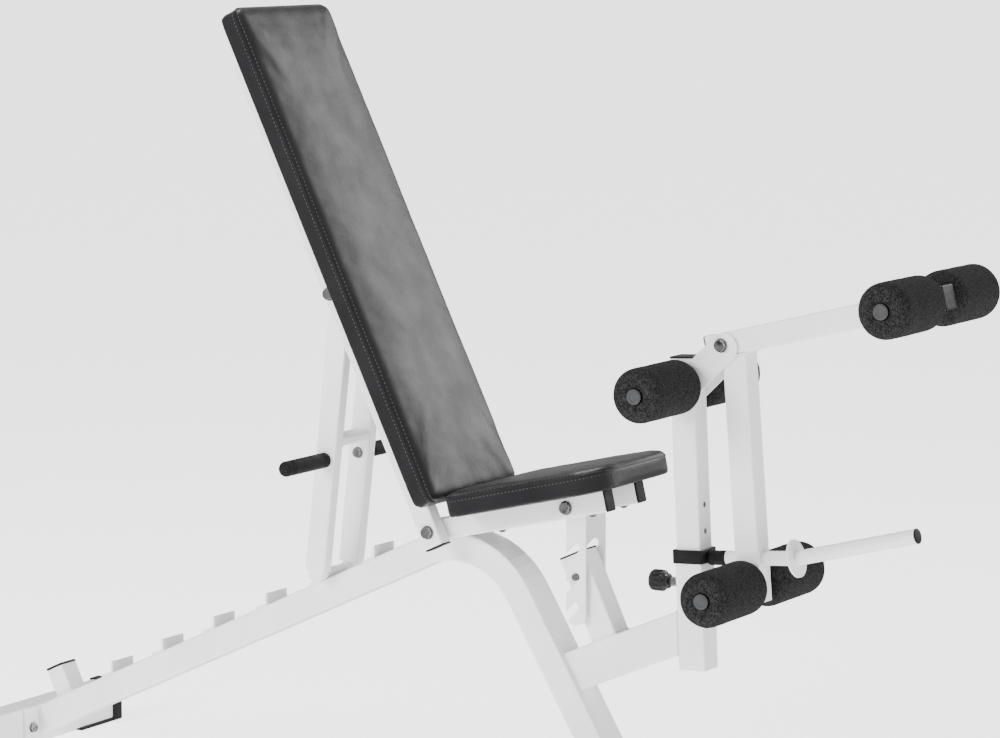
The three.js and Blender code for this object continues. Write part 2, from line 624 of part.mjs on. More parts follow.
function addLadder() {
  const pivot = ladderPivot();
  const ladder = group(bench, pivot.x, pivot.y);
  const half = LADDER.width / 2;
  const outline = new THREE.Shape();
  outline.absarc(0, 0, half, 0, Math.PI, false);
  outline.lineTo(-half, -LADDER.length + half);
  outline.absarc(0, -LADDER.length + half, half, Math.PI, 2 * Math.PI, false);
  outline.closePath();
  const plateOuter = LADDER.inner + LADDER.thick;
  const plates = SIDES.map(([, side]) => slab(outline, ...onSide(side, LADDER.inner, plateOuter), 10));
  const sleeve = rod(PIVOT_BOLT_R + 4, -LADDER.inner - 1, LADDER.inner + 1);
  const middle = (NOTCH.count - 1) / 2;
  const notches = Array.from({ length: NOTCH.count }, (_, i) =>
    notch(LADDER.pinDrop + (i - middle) * LADDER.pitch));
  const body = cut(join(...plates, sleeve), rod(PIVOT_BOLT_R + RUN, -80, 80), ...notches);
  piece(ladder, 'seat_ladder', body, WHITE_STEEL);
}

// ---------------------------------------------------------------- leg developer post
function rollerShape(side) {
  const [bore, width] = [AXLE.radius + RUN + 0.2, ROLLER.outer - ROLLER.inner];
  const [r, c] = [ROLLER.radius, ROLLER.round];
  const arc = (centreY, from) => Array.from({ length: 4 }, (_, i) => {
    const angle = rad(from + i * 30);
    return new THREE.Vector2(r - c + c * Math.cos(angle), centreY + c * Math.sin(angle));
  });
  const ends = [new THREE.Vector2(bore, 0), new THREE.Vector2(bore, width)];
  const profile = [ends[0], ...arc(c, -90), ...arc(width - c, 0), ends[1]];
  const lathe = new THREE.LatheGeometry([...profile, profile[0].clone()], 24);
  return side > 0 ? lathe.translate(0, ROLLER.inner, 0) : lathe.translate(0, -ROLLER.outer, 0);
}

function addRollers(parent, where, x, z) {
  const axle = cut(rod(AXLE.radius, -AXLE.half, AXLE.half, x, z, 20),
    rod(AXLE.radius - WALL, -AXLE.half - 5, AXLE.half + 5, x, z));
  piece(parent, `${where}_axle`, axle, ZINC);
  for (const [name, side] of SIDES) {
    piece(parent, `${where}_roller_${name}`, rollerShape(side).translate(x, 0, z), FOAM);
  }
}

const axleHole = (x, z) => rod(AXLE.radius + GAP, -80, 80, x, z);

// A strap with round ends between two points of the XZ plane.
function strap(fromX, fromZ, toX, toZ, halfWidth) {
  const angle = Math.atan2(toZ - fromZ, toX - fromX);
  const outline = new THREE.Shape();
  outline.absarc(toX, toZ, halfWidth, angle - Math.PI / 2, angle + Math.PI / 2, false);
  outline.absarc(fromX, fromZ, halfWidth, angle + Math.PI / 2, angle + (3 * Math.PI) / 2, false);
  outline.closePath();
  return outline;
}

function addPost() {
  const post = group(bench, RECEIVER.x, RECEIVER.z, RECEIVER.lean);
  const half = POST.size / 2;
  const tube = upright(tubeSection(POST.size, POST.size), -POST.below, POST.above);
  const ears = SIDES.map(([, side]) =>
    slab(strap(0, POST_AXLE_ABOVE, ARM_PIVOT.ahead, ARM_PIVOT.above, EAR.halfWidth),
      ...onSide(side, half - 0.2, half + EAR.thick), 10).translate(EAR.shift, 0, -EAR.shift));
  const slots = [];
  for (let k = -PIN_HOLE.below; k <= PIN_HOLE.above; k += 1) {
    slots.push(rodX(PIN_HOLE.radius, -60, 60, 0, PIN_HOLE.firstAbove + k * PIN_HOLE.pitch, 12));
  }
  const body = cut(join(tube, ...ears), ...slots, axleHole(0, POST_AXLE_ABOVE),
    rod(PIVOT_BOLT_R + RUN, -60, 60, ARM_PIVOT.ahead, ARM_PIVOT.above));
  piece(post, 'inner_post', body, WHITE_STEEL);
  const cap = upright(roundedRectangle(POST.size + 1, POST.size - 0.8, TUBE_CORNER),
    POST.above + GAP, POST.above + GAP + CAP_THICK);
  piece(post, 'inner_post_cap', cap, BLACK_PLASTIC);
  addRollers(post, 'upper', 0, POST_AXLE_ABOVE);
}

function addKnob() {
  const height = RECEIVER.z + KNOB.above * Math.cos(rad(RECEIVER.lean));
  const face = RECEIVER.x - KNOB.above * Math.sin(rad(RECEIVER.lean)) - RECEIVER.outer / 2;
  const stemEnd = face - 2.5;
  const knobFront = stemEnd - KNOB.stem - KNOB.neck;
  const flutes = Array.from({ length: 12 }, (_, i) => {
    const angle = (i * Math.PI) / 6;
    const reach = KNOB.radius + 1;
    return rodX(2.6, knobFront - KNOB.length - 5, knobFront - 5,
      reach * Math.cos(angle), height + reach * Math.sin(angle), 6);
  });
  const knob = join(
    cut(rodX(KNOB.radius, knobFront - KNOB.length, knobFront, 0, height, 24), ...flutes),
    rodX(KNOB.neckRadius, knobFront - 1, knobFront + KNOB.neck, 0, height),
    rodX(KNOB.stemRadius, knobFront, stemEnd, 0, height),
    rodX(KNOB.pin, stemEnd - 1, face + 1.2, 0, height, 16),
  );
  piece(bench, 'pull_knob', knob, BLACK_PLASTIC);
}

// ---------------------------------------------------------------- leg developer arm
function armPivot() {
  const angle = rad(RECEIVER.lean);
  return new THREE.Vector2(
    RECEIVER.x + ARM_PIVOT.ahead * Math.cos(angle) - ARM_PIVOT.above * Math.sin(angle),
    RECEIVER.z + ARM_PIVOT.ahead * Math.sin(angle) + ARM_PIVOT.above * Math.cos(angle),
  );
}

function addBeam(arm) {
  const along = (geometry) => lean(geometry, BEAM.rise - 90);
  const beam = cut(along(upright(tubeSection(BEAM.height, BEAM.width), -BEAM.behind, BEAM.ahead)),
    rod(PIVOT_BOLT_R + RUN, -60, 60), along(axleHole(0, BEAM.axleAhead)));
  piece(arm, 'arm_beam', beam, WHITE_STEEL);
  const capOutline = roundedRectangle(BEAM.height + 1, BEAM.width - 0.6, TUBE_CORNER);
  const plate = (z0) => along(upright(capOutline, z0, z0 + CAP_THICK));
  piece(arm, 'beam_cap_rear', plate(-BEAM.behind - GAP - CAP_THICK), BLACK_PLASTIC);
  piece(arm, 'beam_cap_front', plate(BEAM.ahead + GAP), BLACK_PLASTIC);
  const axle = new THREE.Vector2(BEAM.axleAhead, 0).rotateAround(new THREE.Vector2(), rad(BEAM.rise));
  addRollers(arm, 'front', axle.x, axle.y);
}

// The horn: a sleeve square to the arm, then a disc that stops the plates, then the bar.
function hornSolid(face, z) {
  const bar = cut(
    join(rodX(HORN.radius, -6, HORN.bar, 0, 0, 20),
      rodX(HORN.disc, -HORN.discThick / 2, HORN.discThick / 2, 0, 0, 32)),
    rodX(HORN.radius - WALL, HORN.discThick, HORN.bar + 5),
  ).rotateY(-rad(HORN.rise)).translate(face + HORN.sleeve, 0, z);
  return join(rodX(HORN.radius, face + GAP, face + HORN.sleeve, 0, z), bar);
}

// The front face of the bumper, in the arm tube's frame, just clear of the collar's front.
function bumperTip() {
  const turn = rad(ARM.lean - RECEIVER.lean);
  const collarFace = RECEIVER.outer / 2 + GAP + COLLAR.wall;
  const ahead = ARM_PIVOT.ahead + ARM.ahead * Math.cos(rad(RECEIVER.lean));
  const swung = (BUMPER.down - BUMPER.radius - 0.5) * Math.sin(turn);
  return (collarFace + GAP - ahead - swung) / Math.cos(turn);
}

function addArmTube(arm) {
  const leg = group(arm, ARM.ahead, 0, ARM.lean);
  const half = ARM.size / 2;
  const overBeam = box(-200, 500, -40, 40, -BEAM.height / 2 - GAP, 200).rotateY(-rad(BEAM.rise))
    .translate(-ARM.ahead, 0, 0).rotateY(rad(ARM.lean));
  const tip = bumperTip();
  const stub = rodX(BUMPER.radius, tip + BUMPER.rubber + GAP, -half + 0.5, 0, -BUMPER.down);
  const tube = upright(tubeSection(ARM.size, ARM.size), -ARM.length, 30);
  const body = cut(join(tube, stub), overBeam, axleHole(0, -ARM.axleDown));
  piece(leg, 'arm_tube', body, WHITE_STEEL);
  piece(leg, 'arm_bumper', rodX(BUMPER.radius + 0.5, tip, tip + BUMPER.rubber, 0, -BUMPER.down), RUBBER);
  piece(leg, 'weight_horn', hornSolid(half, -HORN.down), WHITE_STEEL);
  addRollers(leg, 'lower', 0, -ARM.axleDown);
}

function addArm() {
  const pivot = armPivot();
  const arm = group(bench, pivot.x, pivot.y);
  addBeam(arm);
  addArmTube(arm);
  const outer = POST.size / 2 + EAR.thick;
  piece(arm, 'arm_pivot_bolt', bolt(PIVOT_BOLT_R, -outer, outer), ZINC);
}

// ---------------------------------------------------------------- assembly
addSpine();
addCrossmembers();
addNeck();
addReceiver();
addSeatPost();
addBack();
addSupport();
addSeat();
addLadder();
addPost();
addKnob();
addArm();

bench.updateMatrixWorld(true);
const bounds = new THREE.Box3().setFromObject(bench, true);
bench.position.set(-(bounds.min.x + bounds.max.x) / 2, -(bounds.min.y + bounds.max.y) / 2, -bounds.min.z);

export default bench;
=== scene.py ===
"""The visible model of an adjustable weight bench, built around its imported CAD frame."""

import json
import logging
import math
from collections.abc import Callable, Iterable, Sequence
from dataclasses import dataclass, field
from enum import Enum

import bmesh
import bpy
from mathutils import Matrix, Vector, noise
from mathutils.bvhtree import BVHTree


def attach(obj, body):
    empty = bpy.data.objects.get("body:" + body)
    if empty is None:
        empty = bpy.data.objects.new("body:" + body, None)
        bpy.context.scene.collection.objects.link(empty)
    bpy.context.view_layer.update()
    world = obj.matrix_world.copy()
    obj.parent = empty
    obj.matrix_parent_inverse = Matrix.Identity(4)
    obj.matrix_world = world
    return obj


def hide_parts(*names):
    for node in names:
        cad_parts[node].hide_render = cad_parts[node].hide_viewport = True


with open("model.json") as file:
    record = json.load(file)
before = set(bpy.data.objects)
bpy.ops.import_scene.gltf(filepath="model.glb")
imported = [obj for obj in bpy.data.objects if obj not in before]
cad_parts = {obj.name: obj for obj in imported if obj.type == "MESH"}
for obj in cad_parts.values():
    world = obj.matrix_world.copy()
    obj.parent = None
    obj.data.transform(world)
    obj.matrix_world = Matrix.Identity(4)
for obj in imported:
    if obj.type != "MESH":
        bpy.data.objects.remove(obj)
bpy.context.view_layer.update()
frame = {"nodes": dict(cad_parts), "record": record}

LOG = logging.getLogger("bench")

MM = 0.001
DATUM_X = 10.2445  # from the hinge's foot on the floor to the bench's origin, mm
GAP = 0.3  # between pieces that touch, mm
SIDES = (("right", -1), ("left", 1))

Point = tuple[float, float]
NodeTree = bpy.types.NodeTree
NodeSocket = bpy.types.NodeSocket
ShaderNode = bpy.types.ShaderNode


# ---------------------------------------------------------------- stations
@dataclass(frozen=True)
class Station:
    """A sub-assembly's own axes in the bench's middle plane, in millimetres.

    Attributes:
        x: distance ahead of the hinge.
        z: height above the floor.
        lean: degrees that its upright axis leans to the rear.
    """

    x: float
    z: float
    lean: float = 0.0

    def matrix(self) -> Matrix:
        """Returns the transform from the station, in millimetres, to the bench, in metres."""
        turn = Matrix.Rotation(-math.radians(self.lean), 4, "Y")
        return Matrix.Scale(MM, 4) @ Matrix.Translation((self.x + DATUM_X, 0, self.z)) @ turn

    def point(self, x: float, z: float) -> Point:
        """Finds a point of the station in the bench's middle plane.

        Args:
            x: distance ahead of the station, mm.
            z: distance up its upright axis, mm.

        Returns:
            The point's place ahead of the hinge and its height, mm.
        """
        angle = math.radians(self.lean)
        return (
            self.x + x * math.cos(angle) - z * math.sin(angle),
            self.z + x * math.sin(angle) + z * math.cos(angle),
        )

    def axes(self) -> tuple[Vector, Vector]:
        """Returns the station's forward and upright directions in the bench's axes."""
        angle = math.radians(self.lean)
        return Vector((math.cos(angle), 0, math.sin(angle))), Vector((-math.sin(angle), 0, math.cos(angle)))


SPINE_SLOPE = 24.9
SPINE_BEND = (12.0, 302.0)
SPINE_REACH = 172.0  # from the bend's centre to the top face


def on_spine(along: float, above: float) -> Point:
    """Finds a point over the sloping rear stretch of the spine.

    Args:
        along: distance down the stretch from the bend.
        above: height over its top face.

    Returns:
        The point in the bench's middle plane, in millimetres.
    """
    slope = math.radians(SPINE_SLOPE)
    reach = SPINE_REACH + above
    return (
        SPINE_BEND[0] - reach * math.sin(slope) - along * math.cos(slope),
        SPINE_BEND[1] + reach * math.cos(slope) - along * math.sin(slope),
    )


HINGE_HEIGHT = 483
SEAT_LEAN = 13
NECK_RISE = 23.2
POST_LEAN = 2.7
BEAM_RISE = 14
ARM_PIVOT = (521.391, 828.529)
STUB_ALONG = 855  # from the spine's bend to the rest stub

FLOOR = Station(0, 0)
HINGE = Station(0, HINGE_HEIGHT)
BACK = Station(0, HINGE_HEIGHT, 25.4)
SEAT = Station(0, HINGE_HEIGHT, SEAT_LEAN)
SEAT_RAILS = Station(0, HINGE_HEIGHT, SEAT_LEAN - 90)
SUPPORT = Station(-197.025, 883.946, -6.53)
STUB = Station(*on_spine(STUB_ALONG, 0), SPINE_SLOPE)
NECK = Station(363, 303, NECK_RISE - 90)
RECEIVER = Station(466, 360, POST_LEAN)
SEAT_POST = Station(239, 452, 24.5)
BEAM = Station(*ARM_PIVOT, BEAM_RISE - 90)
ARM = Station(ARM_PIVOT[0] + 20, ARM_PIVOT[1], 4.4)

PIN_FACE, PIN_HEIGHT = 463.174 - 25, 419.933  # where the pull pin enters the receiver
HORN_DOWN = 357  # from the arm's pivot to the plate horn and the bumper
BOLT_HALF = 102.5  # from the middle plane to the outer faces that the long bolts hold
PAD_HALF = 152.0  # half the width of both pads


# ---------------------------------------------------------------- shader groups
class Effect(Enum):
    """The shader groups that more than one finish uses."""

    MOTTLE = "surface_mottle"
    RELIEF = "fine_relief"
    GRAIN = "hide_grain"


def _new_group(effect: Effect, inputs: dict[str, float], outputs: dict[str, str]) -> NodeTree:
    """Starts a shader group with float inputs and the named outputs.

    Args:
        effect: which group it is.
        inputs: input names with their default values.
        outputs: output names with their socket types.

    Returns:
        The empty group with its input and output nodes.
    """
    tree = bpy.data.node_groups.new(effect.value, "ShaderNodeTree")
    for name, value in inputs.items():
        tree.interface.new_socket(name, in_out="INPUT", socket_type="NodeSocketFloat").default_value = value
    for name, kind in outputs.items():
        tree.interface.new_socket(name, in_out="OUTPUT", socket_type=kind)
    tree.nodes.new("NodeGroupInput")
    tree.nodes.new("NodeGroupOutput")
    return tree


def _mottle_group() -> NodeTree:
    """Returns the group that spreads a value softly between two limits."""
    tree = _new_group(
        Effect.MOTTLE, {"Scale": 20, "Detail": 3, "Low": 0.3, "High": 0.5}, {"Value": "NodeSocketFloat"}
    )
    give, take = tree.nodes["Group Input"], tree.nodes["Group Output"]
    place = tree.nodes.new("ShaderNodeTexCoord")
    cloud = tree.nodes.new("ShaderNodeTexNoise")
    spread = tree.nodes.new("ShaderNodeMapRange")
    spread.inputs["From Min"].default_value, spread.inputs["From Max"].default_value = 0.3, 0.7
    link = tree.links.new
    link(place.outputs["Object"], cloud.inputs["Vector"])
    link(give.outputs["Scale"], cloud.inputs["Scale"])
    link(give.outputs["Detail"], cloud.inputs["Detail"])
    link(cloud.outputs["Fac"], spread.inputs["Value"])
    link(give.outputs["Low"], spread.inputs["To Min"])
    link(give.outputs["High"], spread.inputs["To Max"])
    link(spread.outputs["Result"], take.inputs["Value"])
    return tree


def _relief_group() -> NodeTree:
    """Returns the group that raises a fine, even unevenness, and gives its height as a mask."""
    tree = _new_group(
        Effect.RELIEF,
        {"Scale": 500, "Detail": 2, "Strength": 0.2, "Depth": 0.0002},
        {"Normal": "NodeSocketVector", "Mask": "NodeSocketFloat"},
    )
    give, take = tree.nodes["Group Input"], tree.nodes["Group Output"]
    place = tree.nodes.new("ShaderNodeTexCoord")
    cloud = tree.nodes.new("ShaderNodeTexNoise")
    bump = tree.nodes.new("ShaderNodeBump")
    link = tree.links.new
    link(place.outputs["Object"], cloud.inputs["Vector"])
    link(give.outputs["Scale"], cloud.inputs["Scale"])
    link(give.outputs["Detail"], cloud.inputs["Detail"])
    link(cloud.outputs["Fac"], bump.inputs["Height"])
    link(give.outputs["Strength"], bump.inputs["Strength"])
    link(give.outputs["Depth"], bump.inputs["Distance"])
    link(bump.outputs["Normal"], take.inputs["Normal"])
    link(cloud.outputs["Fac"], take.inputs["Mask"])
    return tree


def _grain_group() -> NodeTree:
    """Returns the group of small pebbles with fine furrows between them, over long shallow creases."""
    tree = _new_group(
        Effect.GRAIN,
        {"Scale": 600, "Strength": 0.4, "Depth": 0.0002, "Creases": 0.5},
        {"Normal": "NodeSocketVector", "Mask": "NodeSocketFloat"},
    )
    give, take = tree.nodes["Group Input"], tree.nodes["Group Output"]
    new, link = tree.nodes.new, tree.links.new
    place = new("ShaderNodeTexCoord")
    warp = new("ShaderNodeTexNoise")
    warp.inputs["Scale"].default_value, warp.inputs["Detail"].default_value = 90, 2
    shift = new("ShaderNodeVectorMath")
    shift.operation = "MULTIPLY_ADD"
    shift.inputs[1].default_value = (0.004, 0.004, 0.004)
    pebbles = new("ShaderNodeTexVoronoi")
    pebbles.feature = "DISTANCE_TO_EDGE"
    furrow = new("ShaderNodeMapRange")
    furrow.inputs["From Max"].default_value = 0.22
    crease = new("ShaderNodeTexNoise")
    crease.inputs["Scale"].default_value, crease.inputs["Detail"].default_value = 17, 5
    crease.inputs["Distortion"].default_value = 1.6
    ridge = new("ShaderNodeMath")
    ridge.operation = "PINGPONG"
    ridge.inputs[1].default_value = 0.5
    fold = new("ShaderNodeMapRange")
    fold.inputs["From Min"].default_value, fold.inputs["From Max"].default_value = 0.5, 0.44
    fold.inputs["To Min"].default_value, fold.inputs["To Max"].default_value = 0.0, 1.0
    weigh = new("ShaderNodeMath")
    weigh.operation = "MULTIPLY"
    total = new("ShaderNodeMath")
    total.operation = "MULTIPLY_ADD"
    bump = new("ShaderNodeBump")
    link(place.outputs["Object"], warp.inputs["Vector"])
    link(warp.outputs["Color"], shift.inputs[0])
    link(place.outputs["Object"], shift.inputs[2])
    link(shift.outputs["Vector"], pebbles.inputs["Vector"])
    link(give.outputs["Scale"], pebbles.inputs["Scale"])
    link(pebbles.outputs["Distance"], furrow.inputs["Value"])
    link(place.outputs["Object"], crease.inputs["Vector"])
    link(crease.outputs["Fac"], ridge.inputs[0])
    link(ridge.outputs["Value"], fold.inputs["Value"])
    link(fold.outputs["Result"], weigh.inputs[0])
    link(give.outputs["Creases"], weigh.inputs[1])
    link(furrow.outputs["Result"], total.inputs[0])
    total.inputs[1].default_value = 0.35
    link(weigh.outputs["Value"], total.inputs[2])
    link(total.outputs["Value"], bump.inputs["Height"])
    link(give.outputs["Strength"], bump.inputs["Strength"])
    link(give.outputs["Depth"], bump.inputs["Distance"])
    link(bump.outputs["Normal"], take.inputs["Normal"])
    link(furrow.outputs["Result"], take.inputs["Mask"])
    return tree


_MAKERS: dict[Effect, Callable[[], NodeTree]] = {
    Effect.MOTTLE: _mottle_group,
    Effect.RELIEF: _relief_group,
    Effect.GRAIN: _grain_group,
}


def effect_node(tree: NodeTree, effect: Effect, **values: float) -> ShaderNode:
    """Places a shader group in a material.

    Args:
        tree: the material's nodes.
        effect: the group to place.
        **values: the group's inputs, by name in small letters.

    Returns:
        The placed group node.
    """
    group = bpy.data.node_groups.get(effect.value) or _MAKERS[effect]()
    node = tree.nodes.new("ShaderNodeGroup")
    node.node_tree = group
    for name, value in values.items():
        node.inputs[name.capitalize()].default_value = value
    return node


# ---------------------------------------------------------------- finishes
@dataclass(frozen=True)
class Finish:
    """How a surface looks. The subclasses add the effect that gives it its texture.

    Attributes:
        name: the material's name.
        slot: the record's material slot; not used.
        dark, light: the two ends of its colour.
        rough: the two ends of its roughness.
        cloud: how fine its colour varies, per metre.
    """

    name: str
    slot: str
    dark: tuple[float, float, float]
    light: tuple[float, float, float]
    rough: tuple[float, float] = (0.4, 0.5)
    cloud: float = 12.0
    metallic: float = 0.0
    coat: float = 0.0
    sheen: float = 0.0
    specular: float = 0.5

    def material(self) -> bpy.types.Material:
        """Returns the material, made the first time it is asked for."""
        made = bpy.data.materials.get(self.name)
        if made is None:
            made = bpy.data.materials.new(self.name)
            made.use_nodes = True
            made.diffuse_color = (*self.light, 1)
            self._nodes(made.node_tree, made.node_tree.nodes["Principled BSDF"])
        return made

    def _nodes(self, tree: NodeTree, shader: ShaderNode) -> None:
        """Sets the shader's constants, and links colour, roughness and relief.

        Args:
            tree: the material's nodes.
            shader: its Principled shader.
        """
        shader.inputs["Metallic"].default_value = self.metallic
        shader.inputs["Coat Weight"].default_value = self.coat
        shader.inputs["Coat Roughness"].default_value = 0.25
        shader.inputs["Sheen Weight"].default_value = self.sheen
        shader.inputs["Sheen Roughness"].default_value = 0.5
        shader.inputs["Specular IOR Level"].default_value = self.specular
        cloud = effect_node(tree, Effect.MOTTLE, scale=self.cloud, detail=4, low=0, high=1)
        tint = tree.nodes.new("ShaderNodeMix")
        tint.data_type = "RGBA"
        tint.inputs["A"].default_value = (*self.dark, 1)
        tint.inputs["B"].default_value = (*self.light, 1)
        tree.links.new(cloud.outputs["Value"], tint.inputs["Factor"])
        tree.links.new(tint.outputs["Result"], shader.inputs["Base Color"])
        low, high = self.rough
        gloss = effect_node(tree, Effect.MOTTLE, scale=self.cloud * 2.3, detail=3, low=low, high=high)
        tree.links.new(gloss.outputs["Value"], shader.inputs["Roughness"])
        self._relief(tree, shader, tint)

    def _relief(self, tree: NodeTree, shader: ShaderNode, tint: ShaderNode) -> None:
        """Links the surface's texture. A plain finish has none."""

    @staticmethod
    def _paint_relief_shade(
        tree: NodeTree,
        shader: ShaderNode,
        tint: ShaderNode,
        mask: NodeSocket,
        hollow: Point = (0.0, 1.0),
        factor: Point = (0.0, 1.0),
    ) -> None:
        """Scales the colour by a mask: painted shade in the hollows of a texture, and painted light on its
        highs where the factor passes 1.

        Args:
            tree: the material's nodes.
            shader: its Principled shader.
            tint: the node that gives the plain colour.
            mask: the height of the texture.
            hollow: the two ends of the mask that count.
            factor: the colour's factor at these ends.
        """
        curve = tree.nodes.new("ShaderNodeMapRange")
        for name, value in zip(("From Min", "From Max", "To Min", "To Max"), (*hollow, *factor)):
            curve.inputs[name].default_value = value
        shade = tree.nodes.new("ShaderNodeVectorMath")
        shade.operation = "SCALE"
        tree.links.new(mask, curve.inputs["Value"])
        tree.links.new(tint.outputs["Result"], shade.inputs[0])
        tree.links.new(curve.outputs["Result"], shade.inputs["Scale"])
        tree.links.new(shade.outputs["Vector"], shader.inputs["Base Color"])


@dataclass(frozen=True)
class Textured(Finish):
    """A finish with an even fine relief, such as powder coat, moulded plastic or plated steel."""

    grain: float = 500.0
    detail: float = 2.0
    strength: float = 0.15
    depth: float = 0.0002
    # The last field scales the colour with the relief: painted shade in its hollows and painted light on its
    # highs, not a colour of the surface.
    painted_relief_shade: float = 0.0

    def _relief(self, tree: NodeTree, shader: ShaderNode, tint: ShaderNode) -> None:
        """Links the relief and, where the finish asks for it, paints shade into the relief's hollows and
        light onto its highs.

        Args:
            tree: the material's nodes.
            shader: its Principled shader.
            tint: the node that gives the plain colour.
        """
        relief = effect_node(
            tree, Effect.RELIEF, scale=self.grain, detail=self.detail, strength=self.strength,
            depth=self.depth,
        )
        tree.links.new(relief.outputs["Normal"], shader.inputs["Normal"])
        # Painted light and shade: the colour follows the relief's height mask.
        if self.painted_relief_shade:
            factor = (1 - self.painted_relief_shade, 1 + self.painted_relief_shade)
            self._paint_relief_shade(tree, shader, tint, relief.outputs["Mask"], (0.42, 0.58), factor)


@dataclass(frozen=True)
class Hide(Finish):
    """Coated upholstery cloth with a pebbled grain and soft creases."""

    pebble: float = 620.0
    strength: float = 0.35
    depth: float = 0.00035
    creases: float = 0.6

    def _relief(self, tree: NodeTree, shader: ShaderNode, tint: ShaderNode) -> None:
        """Links the grain, and paints a little shade into its furrows.

        Args:
            tree: the material's nodes.
            shader: its Principled shader.
            tint: the node that gives the plain colour.
        """
        grain = effect_node(
            tree, Effect.GRAIN, scale=self.pebble, strength=self.strength, depth=self.depth,
            creases=self.creases,
        )
        tree.links.new(grain.outputs["Normal"], shader.inputs["Normal"])
        # Painted shade: the grain's furrows are darkened in the colour.
        self._paint_relief_shade(tree, shader, tint, grain.outputs["Mask"], factor=(0.72, 1.0))


POWDER_COAT = Textured(
    "white_powder_coat", "white_steel", (0.80, 0.805, 0.80), (0.86, 0.865, 0.86), rough=(0.3, 0.4),
    cloud=9, coat=0.15, grain=420, detail=1.5, strength=0.1, depth=0.0003,
)
ZINC = Textured(
    "zinc_plate", "zinc_steel", (0.34, 0.345, 0.35), (0.5, 0.505, 0.51), rough=(0.2, 0.38), cloud=90,
    metallic=1.0, grain=1400, strength=0.12, depth=0.0001,
)
MOULDED = Textured(
    "moulded_black_plastic", "black_plastic", (0.006, 0.006, 0.007), (0.012, 0.012, 0.013),
    rough=(0.38, 0.52),
    cloud=40, specular=0.3, grain=1500, strength=0.25, depth=0.00012,
)
KNOB_PLASTIC = Textured(
    "glossy_black_plastic", "black_plastic", (0.008, 0.008, 0.009), (0.014, 0.014, 0.015),
    rough=(0.16, 0.26),
    cloud=60, coat=0.3, grain=900, strength=0.05, depth=0.0001,
)
PLUG_GRAY = Textured(
    "gray_plastic", "black_plastic", (0.036, 0.037, 0.039), (0.05, 0.051, 0.054), rough=(0.45, 0.6), cloud=70,
    grain=1300, strength=0.25, depth=0.00012,
)
RUBBER = Textured(
    "matte_black_rubber", "black_rubber", (0.006, 0.006, 0.007), (0.012, 0.012, 0.013), rough=(0.6, 0.75),
    cloud=60, specular=0.25, grain=1100, strength=0.3, depth=0.0002,
)
# The foam's colour carries painted shade in the hollows of its relief and painted light on its highs.
FOAM = Textured(
    "cellular_black_foam", "black_foam", (0.012, 0.012, 0.0123), (0.021, 0.021, 0.0216), rough=(0.85, 1.0),
    cloud=170, specular=0.15, grain=420, detail=3, strength=0.8, depth=0.0012, painted_relief_shade=0.55,
)
VINYL = Hide(
    "black_vinyl", "black_upholstery", (0.007, 0.007, 0.008), (0.013, 0.013, 0.014), rough=(0.3, 0.42),
    cloud=7, coat=0.05,
)
# The thread's light grey is a painted highlight, standing for the glint along the seam's stitches.
THREAD_WITH_PAINTED_GLINT = Textured(
    "thread_with_painted_glint", "black_upholstery", (0.09, 0.09, 0.092), (0.16, 0.16, 0.165), rough=(0.5, 0.65), cloud=300,
    grain=2500, strength=0.5, depth=0.0002,
)
# The backing cloth's colour carries painted shade in the hollows of its relief and painted light on its
# highs.
BACKING = Textured(
    "black_backing_cloth", "pad_board", (0.010, 0.010, 0.011), (0.024, 0.024, 0.026), rough=(0.85, 0.95),
    cloud=30, grain=1800, detail=5, strength=0.6, depth=0.0004, painted_relief_shade=0.35,
)


# ---------------------------------------------------------------- meshes
class Axis(Enum):
    """The direction a turned shape lies along."""

    ALONG_X = "x"
    ALONG_Y = "y"
    ALONG_Z = "z"

    def place(self, along: float, a: float, b: float) -> Vector:
        """Returns the point `along` the axis and (a, b) across it."""
        return Vector({"x": (along, a, b), "y": (a, along, b), "z": (a, b, along)}[self.value])


def rounded_outline(corners: Sequence[Point], radius: float, steps: int = 8) -> list[Vector]:
    """Rounds the corners of a polygon.

    Args:
        corners: the polygon's corners, in order.
        radius: how far from each corner its rounding starts.
        steps: the straight pieces in each rounding.

    Returns:
        The outline's points.
    """
    points = [Vector(corner) for corner in corners]
    outline: list[Vector] = []
    for i, corner in enumerate(points):
        before, after = points[i - 1], points[(i + 1) % len(points)]
        start = corner + (before - corner).normalized() * radius
        end = corner + (after - corner).normalized() * radius
        for k in range(steps + 1):
            t = k / steps
            outline.append(start * (1 - t) ** 2 + corner * 2 * t * (1 - t) + end * t * t)
    return outline


def rectangle(width: float, depth: float) -> list[Point]:
    """Returns the corners of a rectangle about the origin, `width` by `depth`."""
    x, y = width / 2, depth / 2
    return [(-x, -y), (x, -y), (x, y), (-x, y)]


def inset_outline(outline: Sequence[Vector], inset: float) -> list[Vector]:
    """Moves every point of an outline inwards along its own normal.

    Args:
        outline: the points, anticlockwise.
        inset: how far they move.

    Returns:
        The moved points.
    """
    moved = []
    for i, point in enumerate(outline):
        run = outline[(i + 1) % len(outline)] - outline[i - 1]
        moved.append(point + Vector((-run.y, run.x)).normalized() * inset)
    return moved


def hexagon(angle: float) -> float:
    """Returns a hexagon's radius at an angle, as a share of its corner's."""
    return math.cos(math.pi / 6) / math.cos((angle % (math.pi / 3)) - math.pi / 6)


